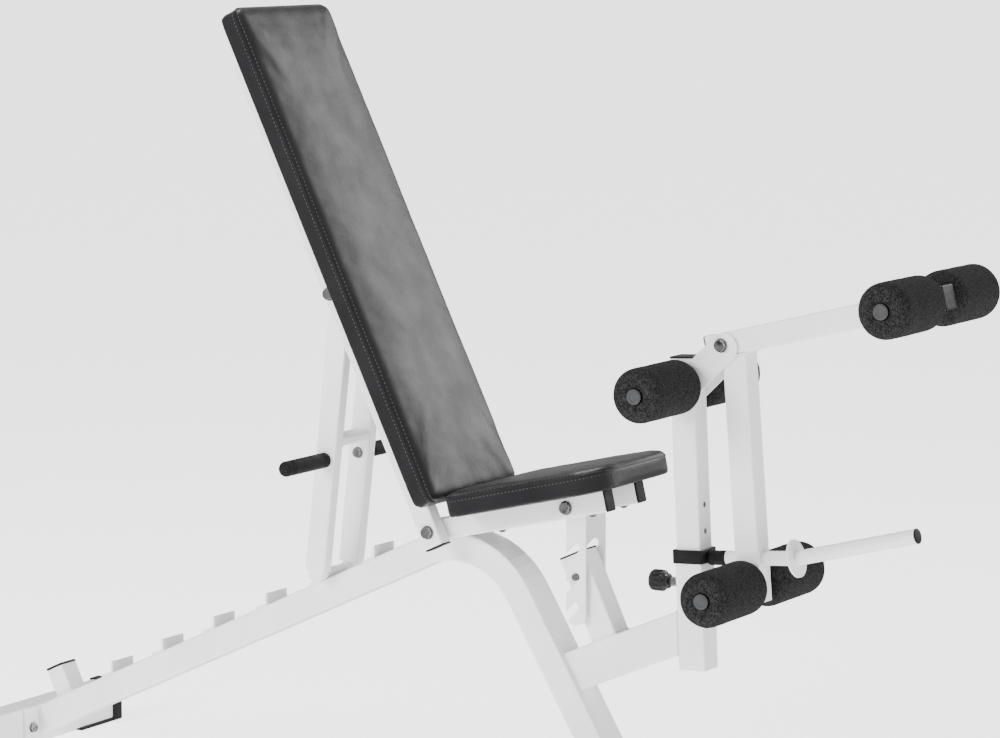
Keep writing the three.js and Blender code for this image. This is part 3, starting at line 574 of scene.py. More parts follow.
class Form:
    """A mesh being made, in millimetres and in its station's axes."""

    def __init__(self) -> None:
        """Starts empty."""
        self.bm = bmesh.new()

    def _skin(self, rings: Sequence[Sequence[bmesh.types.BMVert]], closed: bool) -> None:
        """Joins rings of points with faces.

        Args:
            rings: the rings in order; a ring of one point is a pole.
            closed: whether the last ring joins the first.
        """
        pairs = list(zip(rings, rings[1:]))
        if closed:
            pairs.append((rings[-1], rings[0]))
        for low, high in pairs:
            count = max(len(low), len(high))
            for i in range(count):
                j = (i + 1) % count
                corners = [low[i % len(low)], low[j % len(low)], high[j % len(high)], high[i % len(high)]]
                unique = list(dict.fromkeys(corners))
                if len(unique) > 2:
                    self.bm.faces.new(unique)

    def turned(
        self,
        profile: Sequence[Point],
        centre: tuple[float, float, float] = (0, 0, 0),
        axis: Axis = Axis.ALONG_Y,
        segments: int = 32,
        closed: bool = False,
        swell: Callable[[float, float], float] | None = None,
    ) -> "Form":
        """Adds a shape turned about an axis.

        Args:
            profile: (radius, distance along the axis) of each ring.
            centre: where the axis passes.
            axis: which way it lies.
            segments: points in each ring.
            closed: whether the profile is a loop.
            swell: gives the factor on the radius from the angle and the distance along.

        Returns:
            This form.
        """
        middle = Vector(centre)
        rings = []
        for radius, along in profile:
            if radius < 1e-6:
                rings.append([self.bm.verts.new(middle + axis.place(along, 0, 0))])
                continue
            ring = []
            for k in range(segments):
                angle = 2 * math.pi * k / segments
                r = radius * (swell(angle, along) if swell else 1)
                spot = axis.place(along, r * math.cos(angle), r * math.sin(angle))
                ring.append(self.bm.verts.new(middle + spot))
            rings.append(ring)
        self._skin(rings, closed)
        return self

    def stack(self, layers: Sequence[tuple[Sequence[Vector], float]], axis: Axis = Axis.ALONG_Z) -> "Form":
        """Adds a solid made of outlines one over the other, all with as many points.

        Args:
            layers: each outline and its height.
            axis: which way the heights run.

        Returns:
            This form.
        """
        rings = [
            [self.bm.verts.new(axis.place(height, p.x, p.y)) for p in outline] for outline, height in layers
        ]
        self._skin(rings, False)
        self.bm.faces.new(rings[0])
        self.bm.faces.new(rings[-1])
        return self

    def cord(
        self,
        path: Sequence[Vector],
        radius: float,
        closed: bool = False,
        sides: int = 8,
        ripple: float = 0.0,
    ) -> "Form":
        """Adds a round cord along a path.

        Args:
            path: the points it follows.
            radius: its radius.
            closed: whether it is a loop.
            sides: points in its section.
            ripple: how far its radius rises and falls from point to point, as a share.

        Returns:
            This form.
        """
        rings = []
        count = len(path)
        side = None
        for i, point in enumerate(path):
            ahead = path[(i + 1) % count] if closed or i + 1 < count else point
            behind = path[i - 1] if closed or i else point
            run = (ahead - behind).normalized()
            if side is None:
                side = run.orthogonal()
            side = (side - run * side.dot(run)).normalized()
            up = run.cross(side)
            r = radius * (1 + ripple * (1 if i % 2 else -1))
            turns = (2 * math.pi * k / sides for k in range(sides))
            spots = [point + side * r * math.cos(t) + up * r * math.sin(t) for t in turns]
            rings.append([self.bm.verts.new(spot) for spot in spots])
        self._skin(rings, closed)
        if not closed:
            self.bm.faces.new(rings[0])
            self.bm.faces.new(rings[-1])
        return self

    def moved(self, matrix: Matrix) -> "Form":
        """Moves all that is made so far by `matrix`, and returns this form."""
        bmesh.ops.transform(self.bm, matrix=matrix, verts=self.bm.verts)
        return self

    def joined(self, other: "Form") -> "Form":
        """Adds another form's faces to this one.

        Args:
            other: the form to add.

        Returns:
            This form.
        """
        spare = bpy.data.meshes.new("spare")
        other.bm.to_mesh(spare)
        self.bm.from_mesh(spare)
        bpy.data.meshes.remove(spare)
        return self

    def bevelled(self, width: float, steepest: float = 35, segments: int = 2) -> "Form":
        """Rounds every sharp edge.

        Args:
            width: how far each rounding reaches.
            steepest: edges that turn more than this many degrees are sharp.
            segments: the faces in each rounding.

        Returns:
            This form.
        """
        turn = math.radians(steepest)
        sharp = [e for e in self.bm.edges if len(e.link_faces) == 2 and e.calc_face_angle(0) > turn]
        bmesh.ops.bevel(
            self.bm, geom=sharp, offset=width, segments=segments, profile=0.5, affect="EDGES",
            clamp_overlap=True,
        )
        return self

    def mesh(self, name: str, matrix: Matrix) -> bpy.types.Mesh:
        """Ends the form as a mesh with its faces turned outwards.

        Args:
            name: the mesh's name.
            matrix: the transform to the bench's axes, in metres.

        Returns:
            The mesh.
        """
        bmesh.ops.recalc_face_normals(self.bm, faces=self.bm.faces)
        bmesh.ops.transform(self.bm, matrix=matrix, verts=self.bm.verts)
        mesh = bpy.data.meshes.new(name)
        self.bm.to_mesh(mesh)
        self.bm.free()
        return mesh

    def piece(
        self,
        name: str,
        body: str,
        finish: Finish,
        station: Station = FLOOR,
        stands_for: Iterable[str] = (),
        crease: float = 35,
    ) -> bpy.types.Object:
        """Makes the form an object that rides on a body.

        Args:
            name: the piece's name.
            body: the body it rides on.
            finish: its finish.
            station: the axes that it was made in.
            stands_for: the CAD nodes that it replaces.
            crease: edges that turn more than this many degrees stay sharp.

        Returns:
            The object.
        """
        return dress(self.mesh(name, station.matrix()), name, body, finish, stands_for, crease)


def dress(
    mesh: bpy.types.Mesh,
    name: str,
    body: str,
    finish: Finish,
    stands_for: Iterable[str] = (),
    crease: float = 35,
) -> bpy.types.Object:
    """Links a mesh as a piece with its finish and body.

    Args:
        mesh: the mesh, in metres in the bench's axes.
        name: the piece's name.
        body: the body it rides on.
        finish: its finish.
        stands_for: the CAD nodes that it replaces.
        crease: edges that turn more than this many degrees stay sharp.

    Returns:
        The object.
    """
    mesh.polygons.foreach_set("use_smooth", [True] * len(mesh.polygons))
    mesh.set_sharp_from_angle(angle=math.radians(crease))
    mesh.materials.clear()
    mesh.materials.append(finish.material())
    made = bpy.data.objects.new(name, mesh)
    bpy.context.scene.collection.objects.link(made)
    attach(made, body)
    nodes = list(stands_for)
    if nodes:
        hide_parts(*nodes)
    LOG.info("%s on %s, %d faces", name, body, len(mesh.polygons))
    return made


def softened_node(node: str, name: str, body: str, finish: Finish, width: float = 0.8) -> bpy.types.Object:
    """Remakes a CAD node with rounded edges.

    Args:
        node: the CAD node.
        name: the new piece's name.
        body: the body it rides on.
        finish: its finish.
        width: how far each rounding reaches, mm.

    Returns:
        The object.
    """
    form = Form()
    form.bm.from_mesh(frame["nodes"][node].data)
    bmesh.ops.remove_doubles(form.bm, verts=form.bm.verts, dist=1e-6)
    flat = math.radians(0.5)
    bmesh.ops.dissolve_limit(form.bm, angle_limit=flat, verts=form.bm.verts, edges=form.bm.edges)
    form.bevelled(width * MM)
    return dress(form.mesh(name, Matrix.Identity(4)), name, body, finish, [node])


# ---------------------------------------------------------------- small parts
@dataclass(frozen=True)
class Bolt:
    """A hexagon bolt across the bench, with washers and a lock nut.

    Attributes:
        radius: the shank's radius.
        start, end: the faces that it holds together, along its axis.
    """

    radius: float
    start: float
    end: float

    def form(self) -> Form:
        """Returns the bolt along Y, its head at the low end."""
        r, head = self.radius, 1.1 * self.radius
        low, high = self.start - 2, self.end + 2
        tip = high + head + 3
        made = self.head()
        made.turned(
            [(0, low - head / 2), (r, low - head / 2), (r, tip - 1), (r * 0.82, tip), (0, tip)], segments=24
        )
        made.joined(self._washer(self.end + GAP, high))
        made.joined(self._hexagon(high, high + head * 0.72, dish=0))
        collar = [
            (r * 1.02, high + head * 0.7), (r * 1.42, high + head * 0.7), (r * 1.42, high + head * 0.92),
            (r * 1.3, high + head), (r * 1.02, high + head),
        ]
        made.turned(collar, closed=True)
        return made

    def head(self) -> Form:
        """Returns only the head and its washer."""
        low = self.start - 2
        form = self._hexagon(low - 1.1 * self.radius, low, dish=0.55)
        return form.joined(self._washer(low, self.start - GAP))

    def _washer(self, inner: float, outer: float) -> Form:
        """Makes a flat washer.

        Args:
            inner, outer: its two faces along the axis.

        Returns:
            The form.
        """
        r, bore = self.radius, self.radius * 1.04
        profile = [
            (bore, inner + 0.05), (r * 1.9, inner + 0.05), (r * 2, inner + 0.4), (r * 2, outer - 0.3),
            (r * 1.92, outer), (bore, outer),
        ]
        return Form().turned(profile, closed=True)

    def _hexagon(self, low: float, high: float, dish: float) -> Form:
        """Makes a chamfered hexagon.

        Args:
            low, high: its ends along the axis.
            dish: how far its low face is sunk in the middle.

        Returns:
            The form.
        """
        across, chamfer = 1.75 * self.radius, 0.7

        def flats(angle: float, along: float) -> float:
            """Gives the six flats, cut back by the chamfer.

            Args:
                angle: the angle round the axis, radians.
                along: the distance along the axis.

            Returns:
                The radius as a share of the corner's.
            """
            flat = hexagon(angle)
            near = min(along - low, high - along)
            return min(flat, 0.88 + near * 0.18 / self.radius * 4) if near < 1 else flat

        profile = [
            (0, low + dish), (across * 0.5, low + dish), (across * 0.62, low), (across, low),
            (across, low + chamfer), (across, high - chamfer), (across, high), (0, high),
        ]
        return Form().turned(profile, segments=48, swell=flats)


@dataclass(frozen=True)
class TubeCap:
    """A moulded cap over a square tube's end.

    Attributes:
        name: the piece's name.
        node: the CAD node it replaces.
        body: the body it rides on.
        station: its axes.
        size: its sides.
        low: the height of its inner face.
        y: how far off the middle plane it is.
        up: whether its outer face is the upper one.
    """

    name: str
    node: str
    body: str
    station: Station
    size: tuple[float, float]
    low: float
    y: float = 0.0
    up: bool = True
    thick: float = 3.0

    def make(self) -> None:
        """Builds the cap with a rounded rim and a faint dome."""
        steps = ((0.0, 0.15), (0.0, 0.55), (0.35, 0.82), (1.1, 0.97), (3.5, 1.0))
        outline = rounded_outline(rectangle(*self.size), 4, 6)
        layers = [(inset_outline(outline, 0.4), 0.0)]
        layers += [(inset_outline(outline, inset), share * self.thick) for inset, share in steps]
        form = Form().stack(layers)
        if not self.up:
            form.moved(Matrix.Scale(-1, 4, (0, 0, 1)) @ Matrix.Translation((0, 0, -self.thick)))
        form.moved(Matrix.Translation((0, self.y, self.low)))
        form.piece(self.name, self.body, MOULDED, self.station, [self.node])


# ---------------------------------------------------------------- cushions
class Lie(Enum):
    """Which way a cushion's face looks in its station."""

    UP = "up"
    FORWARD = "forward"

    def matrix(self) -> Matrix:
        """Returns the turn from (along, across, out) to the station's axes."""
        if self is Lie.UP:
            return Matrix.Identity(4)
        return Matrix(((0, 0, 1, 0), (0, -1, 0, 0), (1, 0, 0, 0), (0, 0, 0, 1)))


@dataclass
class Cushion:
    """An upholstered pad: foam on a board under a stretched cover, swelled by a cloth simulation.

    Attributes:
        name: the start of its pieces' names.
        body: the body it rides on.
        station: its axes.
        lie: which way it faces.
        corners: its plan, (along, across), anticlockwise.
        base: the height of its underside over the rails' middle.
        thick: its thickness at the edge of the face.
        firm: the share of the simulated swelling that its firm foam allows.
    """

    name: str
    body: str
    station: Station
    lie: Lie
    corners: list[Point]
    base: float
    thick: float
    corner: float = 24.0
    seam: float = 33.5
    voxel: float = 5.0
    cap: float = 22.0
    firm: float = 0.32
    tuck: float = 3.0
    stands_for: tuple[str, str] = ("", "")
    bare: tuple[Point, ...] = ()
    outline: list[Vector] = field(default_factory=list)

    def place(self) -> Matrix:
        """Returns the transform from the cushion's axes, in millimetres, to the bench."""
        return self.station.matrix() @ self.lie.matrix() @ Matrix.Translation((0, 0, self.base))

    def make(self) -> None:
        """Builds the cushion, its seam and its underside."""
        self.outline = rounded_outline(self.corners, self.corner, 10)
        start = self._stuffing()
        swelled = self._swell(start)
        surface = self._finish(swelled)
        self._sew(surface)
        self._underside()

    def _stuffing(self) -> bpy.types.Object:
        """Returns the cushion before it is swelled, evenly meshed, as an object at the bench."""
        steps = (
            (3.2, 0.0), (1.4, 1.2), (self.tuck * 0.75, 8.0), (self.tuck, self.seam * 0.5),
            (self.tuck * 0.8, self.seam - 7), (1.6, self.seam), (2.6, self.seam + 3.5),
            (5.5, self.thick - 5.5), (10.0, self.thick - 2.8), (16.0, self.thick - 1.9),
            (21.0, self.thick - 1.6),
        )
        form = Form().stack([(inset_outline(self.outline, inset), height) for inset, height in steps])
        name = f"{self.name}_stuffing"
        made = bpy.data.objects.new(name, form.mesh(name, Matrix.Scale(MM, 4)))
        bpy.context.scene.collection.objects.link(made)
        remesh = made.modifiers.new("even", "REMESH")
        remesh.mode = "VOXEL"
        remesh.voxel_size = self.voxel * MM
        return self._applied(made)

    def _applied(self, made: bpy.types.Object) -> bpy.types.Object:
        """Replaces an object's mesh by what its modifiers make of it.

        Args:
            made: the object.

        Returns:
            The same object, with no modifier left.
        """
        view = bpy.context.evaluated_depsgraph_get()
        mesh = bpy.data.meshes.new_from_object(made.evaluated_get(view))
        made.modifiers.clear()
        made.data = mesh
        return made

    def _swell(self, made: bpy.types.Object) -> bpy.types.Object:
        """Runs the cloth simulation, with the underside held by the board.

        Args:
            made: the evenly meshed cushion.

        Returns:
            The same object, swelled.
        """
        scene = bpy.context.scene
        rest = [v.co.copy() for v in made.data.vertices]
        held = made.vertex_groups.new(name="held")
        for v in made.data.vertices:
            height = v.co.z / MM
            hold = 1.0 if height < 2.5 else 0.35 if abs(height - self.seam) < self.voxel * 0.6 else 0.0
            if hold:
                held.add([v.index], hold, "REPLACE")
        cloth = made.modifiers.new("cover", "CLOTH")
        settings = cloth.settings
        settings.quality = 5
        settings.mass = 0.3
        settings.tension_stiffness = settings.compression_stiffness = 35
        settings.shear_stiffness = 20
        settings.bending_stiffness = 6
        settings.use_pressure = True
        settings.uniform_pressure_force = 4
        settings.vertex_group_mass = "held"
        settings.effector_weights.gravity = 0
        cloth.collision_settings.use_collision = False
        cloth.point_cache.frame_start, cloth.point_cache.frame_end = 1, 20
        for number in range(1, 21):
            scene.frame_set(number)
        view = bpy.context.evaluated_depsgraph_get()
        moved = [v.co.copy() for v in made.evaluated_get(view).data.vertices]
        made.modifiers.clear()
        scene.frame_set(1)
        for v, old, new in zip(made.data.vertices, rest, moved):
            shift = (new - old) * self.firm
            far = self.cap * MM
            v.co = old + (shift.normalized() * far if shift.length > far else shift)
        ease = made.modifiers.new("ease", "SMOOTH")
        ease.factor, ease.iterations = 0.5, 6
        return self._applied(made)

    def _finish(self, made: bpy.types.Object) -> bpy.types.Object:
        """Keeps the cushion in its space, ripples its face above the seam, and makes it a piece.

        Args:
            made: the swelled cushion.

        Returns:
            The piece.
        """
        smooth = made.modifiers.new("even", "SUBSURF")
        smooth.levels = smooth.render_levels = 1
        self._applied(made)
        top = self.thick + 5.0
        for v in made.data.vertices:
            p = v.co / MM
            p.z = max(p.z, 0.0)
            if p.z > self.thick:
                p.z = self.thick + (top - self.thick) * math.tanh((p.z - self.thick) / (top - self.thick))
            ripple = noise.noise(Vector((p.x * 0.012, p.y * 0.018, 3.7))) * 0.9
            ripple += noise.noise(Vector((p.x * 0.05, p.y * 0.03, 9.1))) * 0.35
            if p.z > self.seam + 3:
                p.z += ripple
            v.co = p * MM
        mesh = made.data
        mesh.transform(self.place() @ Matrix.Scale(1 / MM, 4))
        mesh.update()
        bpy.data.objects.remove(made)
        piece = dress(mesh, f"{self.name}_cushion", self.body, VINYL, [self.stands_for[0]], crease=180)
        return piece

    def _on_cover(self, tree: BVHTree, height: float, spacing: float) -> list[Vector]:
        """Finds points of the cover round the cushion at one height.

        Args:
            tree: the cover's faces, in the cushion's axes in millimetres.
            height: the height over the underside.
            spacing: how far apart the points are.

        Returns:
            The points.
        """
        found = []
        carry = 0.0
        count = len(self.outline)
        for i, point in enumerate(self.outline):
            ahead = self.outline[(i + 1) % count]
            length = (ahead - point).length
            if length < 1e-6:
                continue
            run = (ahead - point) / length
            inward = Vector((-run.y, run.x, 0))
            while carry < length:
                spot = point + run * carry
                start = Vector((spot.x, spot.y, height)) - inward * 40
                hit = tree.ray_cast(start, inward)[0]
                if hit is not None:
                    found.append(hit)
                carry += spacing
            carry -= length
        return found

    def _sew(self, surface: bpy.types.Object) -> None:
        """Adds the piping along the seam and a row of stitches on each side of it.

        Args:
            surface: the finished cushion.
        """
        back = self.place().inverted()
        mesh = surface.data
        corners = [back @ v.co for v in mesh.vertices]
        tree = BVHTree.FromPolygons(corners, [p.vertices[:] for p in mesh.polygons])
        piping = Form().cord(self._on_cover(tree, self.seam, 4), 1.7, closed=True, sides=8)
        self._lay(piping, "piping", VINYL)
        stitches = Form()
        for height in (self.seam - 5, self.seam + 4.5):
            spots = self._on_cover(tree, height, 2.4)
            for i in range(0, len(spots) - 2, 3):
                if (spots[i + 1] - spots[i]).length < 5:
                    stitches.cord([spots[i], (spots[i] + spots[i + 1]) / 2, spots[i + 1]], 0.45, sides=5)
        # The stitches' light colour is a painted highlight of the seam's glint.
        self._lay(stitches, "stitches", THREAD_WITH_PAINTED_GLINT)

    def _lay(self, form: Form, what: str, finish: Finish, stands_for: Iterable[str] = ()) -> None:
        """Makes a form in the cushion's axes a piece.

        Args:
            form: the form.
            what: the end of the piece's name.
            finish: its finish.
            stands_for: the CAD nodes that it replaces.
        """
        name = f"{self.name}_{what}"
        dress(form.mesh(name, self.place()), name, self.body, finish, stands_for)

    def _underside(self) -> None:
        """Adds the backing cloth, and the staples that hold its turned edge where no rail lies over it."""
        sheet = [(inset_outline(self.outline, 16), -0.75), (inset_outline(self.outline, 15.5), -0.1)]
        self._lay(Form().stack(sheet), "backing", BACKING, [self.stands_for[1]])
        line = inset_outline(self.outline, 20)
        staples = Form()
        carry = 12.0
        for i, point in enumerate(line):
            ahead = line[(i + 1) % len(line)]
            length = (ahead - point).length
            while length > 1e-6 and carry < length:
                run = (ahead - point) / length
                spot = point + run * carry
                if not any(low < abs(spot.y) < high for low, high in self.bare):
                    ends = [Vector((*(spot + run * reach), -0.75)) for reach in (-5, 0, 5)]
                    staples.cord(ends, 0.4, sides=6)
                carry += 32
            carry -= length
        self._lay(staples, "staples", ZINC)


# ---------------------------------------------------------------- rollers and grips
@dataclass(frozen=True)
class RollerPair:
    """Two foam rollers on one axle, with the plugs in its ends.

    Attributes:
        where: which axle it is.
        axle_body: the body that holds the axle.
        centre: the axle's place in the bench's middle plane, mm.
    """

    where: str
    axle_body: str
    centre: Point
    radius: float = 46.0
    inner: float = 30.0
    outer: float = 192.0
    bore: float = 13.1
    axle_end: float = 194.0

    def make(self) -> None:
        """Builds both rollers and both plugs."""
        for name, side in SIDES:
            self._foam(name, side)
            self._plug(name, side)

    def _foam(self, name: str, side: int) -> None:
        """Builds one roller: rounded at both ends, and never quite even.

        Args:
            name: its side.
            side: the sign of its side along Y.
        """
        half, end = (self.outer - self.inner) / 2, 17.0
        profile: list[Point] = [(self.bore, -half + 2.2), (self.bore + 2, -half + 0.6)]
        for k in range(9):
            angle = math.radians(-90 + k * 90 / 8)
            profile.append((self.radius - end + end * math.cos(angle), -half + end + end * math.sin(angle)))
        profile += [(self.radius, -half + end + (2 * half - 2 * end) * k / 12) for k in range(1, 12)]
        mirrored = [(r, -a) for r, a in reversed(profile[:11])]
        shift = 7.3 * (1 + "ufl".index(self.where[0])) + 31 * side
        x, z = self.centre

        def dent(angle: float, along: float) -> float:
            """Returns the small swelling of the foam at a place."""
            spot = Vector((math.cos(angle) * 2, math.sin(angle) * 2, along * 0.045 + shift))
            return 1 + 0.008 * noise.noise(spot) + 0.004 * noise.noise(spot * 4) - 0.006

        centre = (x, side * (self.inner + half), z)
        form = Form().turned(profile + mirrored, centre, segments=72, closed=True, swell=dent)
        node = f"{self.where}_roller_{name}"
        piece = form.piece(f"{self.where}_foam_{name}", f"{node}_body", FOAM, FLOOR, [node], crease=60)

    def _plug(self, name: str, side: int) -> None:
        """Builds the plug in one end of the axle.

        Args:
            name: its side.
            side: the sign of its side along Y.
        """
        x, z = self.centre
        end = self.axle_end + 0.1
        profile = [
            (0, -14), (10, -14), (10.3, -12), (10.3, 0), (12.7, 0), (13.0, 0.5), (12.9, 1.4), (12.0, 2.2),
            (9.0, 2.7), (8.4, 2.35), (4, 2.5), (0, 2.55),
        ]
        form = Form().turned([(r, side * (end + a)) for r, a in profile], (x, 0, z), segments=40)
        form.piece(f"{self.where}_axle_plug_{name}", self.axle_body, PLUG_GRAY)


def grip_form(side: int, start: float, length: float, radius: float, height: float) -> Form:
    """Makes a rubber hand grip along Y.

    Args:
        side: the sign of its side.
        start: where it starts, off the middle plane.
        length: its length.
        radius: its radius.
        height: its height in its station.

    Returns:
        The form.
    """
    bore, bore_end, end = 5.4, length - 12, 7

    def grooves(first: float) -> list[Point]:
        """Returns the profile of three shallow grooves from a place along the grip."""
        steps = ((0.0, -1.0), (0.7, -0.4), (0.7, 0.4), (0.0, 1.0))
        return [(radius - deep, first + 4 * k + along) for k in range(3) for deep, along in steps]

    profile: list[Point] = [(0, bore_end), (bore, bore_end)]
    profile += [(bore, 0.0), (radius - 1, 0.0), (radius, 1.0), (radius, 6.0)]
    profile += grooves(9)
    profile += [(radius, length * share) for share in (0.3, 0.5, 0.7)]
    profile += grooves(length - 22)
    for k in range(7):
        angle = math.radians(k * 15)
        profile.append((radius - end + end * math.cos(angle), length - end + end * math.sin(angle)))
    profile += [(3, length), (0, length - 0.4)]
    return Form().turned([(r, side * (start + a)) for r, a in profile], (0, 0, height), segments=40)


# ---------------------------------------------------------------- welds
def mouth(
    section: Sequence[Vector], tube: Station, face: Point, normal: Point, lift: float = 0.5
) -> list[Vector]:
    """Finds where a tube's outside meets a flat face.

    Args:
        section: the tube's outline, (depth, width).
        tube: the tube's station; the tube lies along its upright axis.
        face: a point of the face in the bench's middle plane.
        normal: the face's normal there.
        lift: how far along the normal the weld's middle stands.

    Returns:
        The weld's path, in millimetres in the bench's axes.
    """
    deep, run = tube.axes()
    out = Vector((normal[0], 0, normal[1])).normalized()
    start = Vector((tube.x, 0, tube.z))
    target = Vector((face[0], 0, face[1])) + out * lift
    path = []
    for p in section:
        base = start + deep * p.x + Vector((0, p.y, 0))
        path.append(base + run * ((target - base).dot(out) / run.dot(out)))
    return path


def even_path(path: Sequence[Vector], spacing: float, closed: bool = True) -> list[Vector]:
    """Spreads points evenly along a path, for a rippled bead.

    Args:
        path: the path's points.
        spacing: how far apart the new points are.
        closed: whether the path is a loop.

    Returns:
        The new points.
    """
    ends = list(path) + ([path[0]] if closed else [])
    spots = []
    carry = 0.0
    for a, b in zip(ends, ends[1:]):
        length = (b - a).length
        while carry < length:
            spots.append(a.lerp(b, carry / length))
            carry += spacing
        carry -= length
    return spots


class Welds:
    """The weld beads of one body, gathered in one piece."""

    def __init__(self, body: str) -> None:
        """Starts with no bead on `body`."""
        self.body = body
        self.form = Form()

    def ring(self, path: Sequence[Vector], radius: float = 1.9) -> None:
        """Adds a bead round a closed path."""
        self.form.cord(even_path(path, 1.5), radius, closed=True, sides=8, ripple=0.07)

    def line(self, start: Vector, end: Vector, radius: float = 1.7) -> None:
        """Adds a straight bead from one point to another."""
        self.form.cord(even_path([start, end], 1.5, closed=False), radius, sides=8, ripple=0.07)

    def section(
        self, station: Station, x: float, y: float, z: float, size: Point, radius: float = 1.9
    ) -> None:
        """Adds a bead round a square section whose plane is the station's own.

        Args:
            station: the axes of the section.
            x, z: its middle in these axes.
            y: how far off the middle plane it is.
            size: its sides.
            radius: the bead's radius.
        """
        px, pz = station.point(x, z)
        centre = Vector((px, y, pz))
        a, b = station.axes()
        self.ring([centre + a * p.x + b * p.y for p in tube_outline(*size)], radius)

    def make(self, name: str) -> None:
        """Makes all the beads one painted piece called `name`."""
        self.form.piece(name, self.body, POWDER_COAT, FLOOR, crease=70)


def tube_outline(depth: float, width: float) -> list[Vector]:
    """Returns a square tube's rounded section."""
    return rounded_outline(rectangle(depth, width), 4, 4)


def circle(radius: float, centre: Vector, a: Vector, b: Vector, count: int = 40) -> list[Vector]:
    """Lays out a circle.

    Args:
        radius: its radius.
        centre: its middle.
        a, b: two unit vectors in its plane, square to each other.
        count: how many points it has.

    Returns:
        Its points.
    """
    steps = (2 * math.pi * k / count for k in range(count))
    return [centre + a * radius * math.cos(t) + b * radius * math.sin(t) for t in steps]


# ---------------------------------------------------------------- sub-assemblies
@dataclass
class BaseFrame:
    """The bent spine with its hooks, crossmembers, neck, receiver and seat post."""

    hooks: int = 6
    hook_first: float = 100.0
    hook_pitch: float = 125.0
    hook_half: float = 32.0
    rear_face: float = -884.0
    bolt_height: float = 37.0
    bolt_y: float = 57.0

    def make(self) -> None:
        """Builds everything that stands still."""
        for end in ("rear", "front"):
            for name, _ in SIDES:
                softened_node(f"{end}_foot_cap_{name}", f"{end}_foot_{name}", "frame", MOULDED, 1.2)
        softened_node("receiver_collar", "receiver_sleeve", "frame", MOULDED, 0.8)
        TubeCap("stub_end_cap", "rest_stub_cap", "frame", STUB, (39, 46), 52.3, thick=4.5).make()
        TubeCap("post_end_cap", "seat_post_cap", "frame", SEAT_POST, (51, 51), 0.3).make()
        for name, side in SIDES:
            form = Bolt(5, 884, 939.3).form().moved(Matrix.Rotation(math.pi / 2, 4, "Z"))
            form.moved(Matrix.Translation((0, side * self.bolt_y, self.bolt_height)))
            form.piece(f"crossmember_bolt_{name}", "frame", ZINC, FLOOR, [f"rear_bolt_{name}"])
        hinge = Bolt(6, -BOLT_HALF, BOLT_HALF).form()
        hinge.piece("main_hinge_bolt", "frame", ZINC, HINGE, ["hinge_bolt"])
        self._bushing()
        self._welds()

    def _bushing(self) -> None:
        """Builds the threaded bushing that guides the pull pin."""
        profile = [(5.2, -19), (7.4, -19), (8, -18.4), (8, -7), (12.5, -7), (12.5, -0.4), (5.2, -0.4)]

        def flats(angle: float, along: float) -> float:
            """Returns the six flats of the bushing's foot."""
            return 1.0 if along < -7 else hexagon(angle)

        form = Form().turned(profile, (PIN_FACE, 0, PIN_HEIGHT), Axis.ALONG_X, 48, closed=True, swell=flats)
        form.piece("pull_pin_bushing", "frame", ZINC)

    def _welds(self) -> None:
        """Adds the beads at the hooks, stub, flange, neck, receiver, seat post and sleeve."""
        welds = Welds("frame")
        for number in range(self.hooks):
            along = self.hook_first + self.hook_pitch * number
            front, rear = on_spine(along, 0.4), on_spine(along + 25.6, 0.4)
            for x, z in (front, rear):
                welds.line(Vector((x, -self.hook_half, z)), Vector((x, self.hook_half, z)), 1.5)
        slope = math.radians(SPINE_SLOPE)
        up = (-math.sin(slope), math.cos(slope))
        welds.ring(mouth(tube_outline(38.6, 45.6), STUB, on_spine(STUB_ALONG, 0), up))
        rear = Station(*on_spine(STUB_ALONG + 5, -25), SPINE_SLOPE + 90)
        welds.ring(mouth(tube_outline(50.6, 70.6), rear, (self.rear_face, 50), (1, 0)))
        neck = tube_outline(70.6, 50.6)
        lean = math.radians(POST_LEAN)
        welds.ring(mouth(neck, NECK, RECEIVER.point(-25.3, 0), (-math.cos(lean), -math.sin(lean))))
        leg = math.radians(60)
        leg_face = (139.3 + 25 * math.sin(leg), 375.5 + 25 * math.cos(leg))
        welds.ring(mouth(neck, NECK, leg_face, (math.sin(leg), math.cos(leg))))
        neck_top = NECK.point(-35.3, -60)
        tilt = math.radians(NECK_RISE)
        welds.ring(mouth(tube_outline(50.6, 50.6), SEAT_POST, neck_top, (-math.sin(tilt), math.cos(tilt))))
        welds.make("frame_welds")


@dataclass
class BackRest:
    """The back cushion on its two rails, and the bolt that its support hangs from."""

    rail_y: float = 87.5

    def make(self) -> None:
        """Builds the back."""
        start, end = 37.0, 963.0
        corners = [(start, -PAD_HALF), (end, -PAD_HALF), (end, PAD_HALF), (start, PAD_HALF)]
        Cushion(
            "back", "back", BACK, Lie.FORWARD, corners, 20.0, 46.3, stands_for=("back_pad", "back_board"),
            bare=((66, 110),),
        ).make()
        for name, side in SIDES:
            TubeCap(
                f"back_rail_end_{name}", f"back_rail_cap_{name}", "back", BACK, (38, 30), -30.3,
                side * self.rail_y, up=False,
            ).make()
            self._screws(name, side)
        bolt = Bolt(6, -BOLT_HALF, BOLT_HALF).form().moved(Matrix.Translation((-6, 0, 446.7)))
        bolt.piece("support_hanger_bolt", "back", ZINC, BACK, ["support_pivot_bolt"])
        welds = Welds("back")
        for _, side in SIDES:
            welds.section(BACK, 0, side * 72.1, 120, (30.6, 30.6))
        welds.make("back_welds")

    def _screws(self, name: str, side: int) -> None:
        """Builds the screws that hold the board to one rail.

        Args:
            name: the rail's side.
            side: the sign of its side.
        """
        form, turn = Form(), Matrix.Rotation(-math.pi / 2, 4, "Y")
        for height in (80.0, 330.0, 600.0, 840.0):
            spot = Matrix.Translation((-19.2, side * self.rail_y, height))
            form.joined(screw_form().moved(spot @ turn))
        form.piece(f"back_screws_{name}", "back", ZINC, BACK)


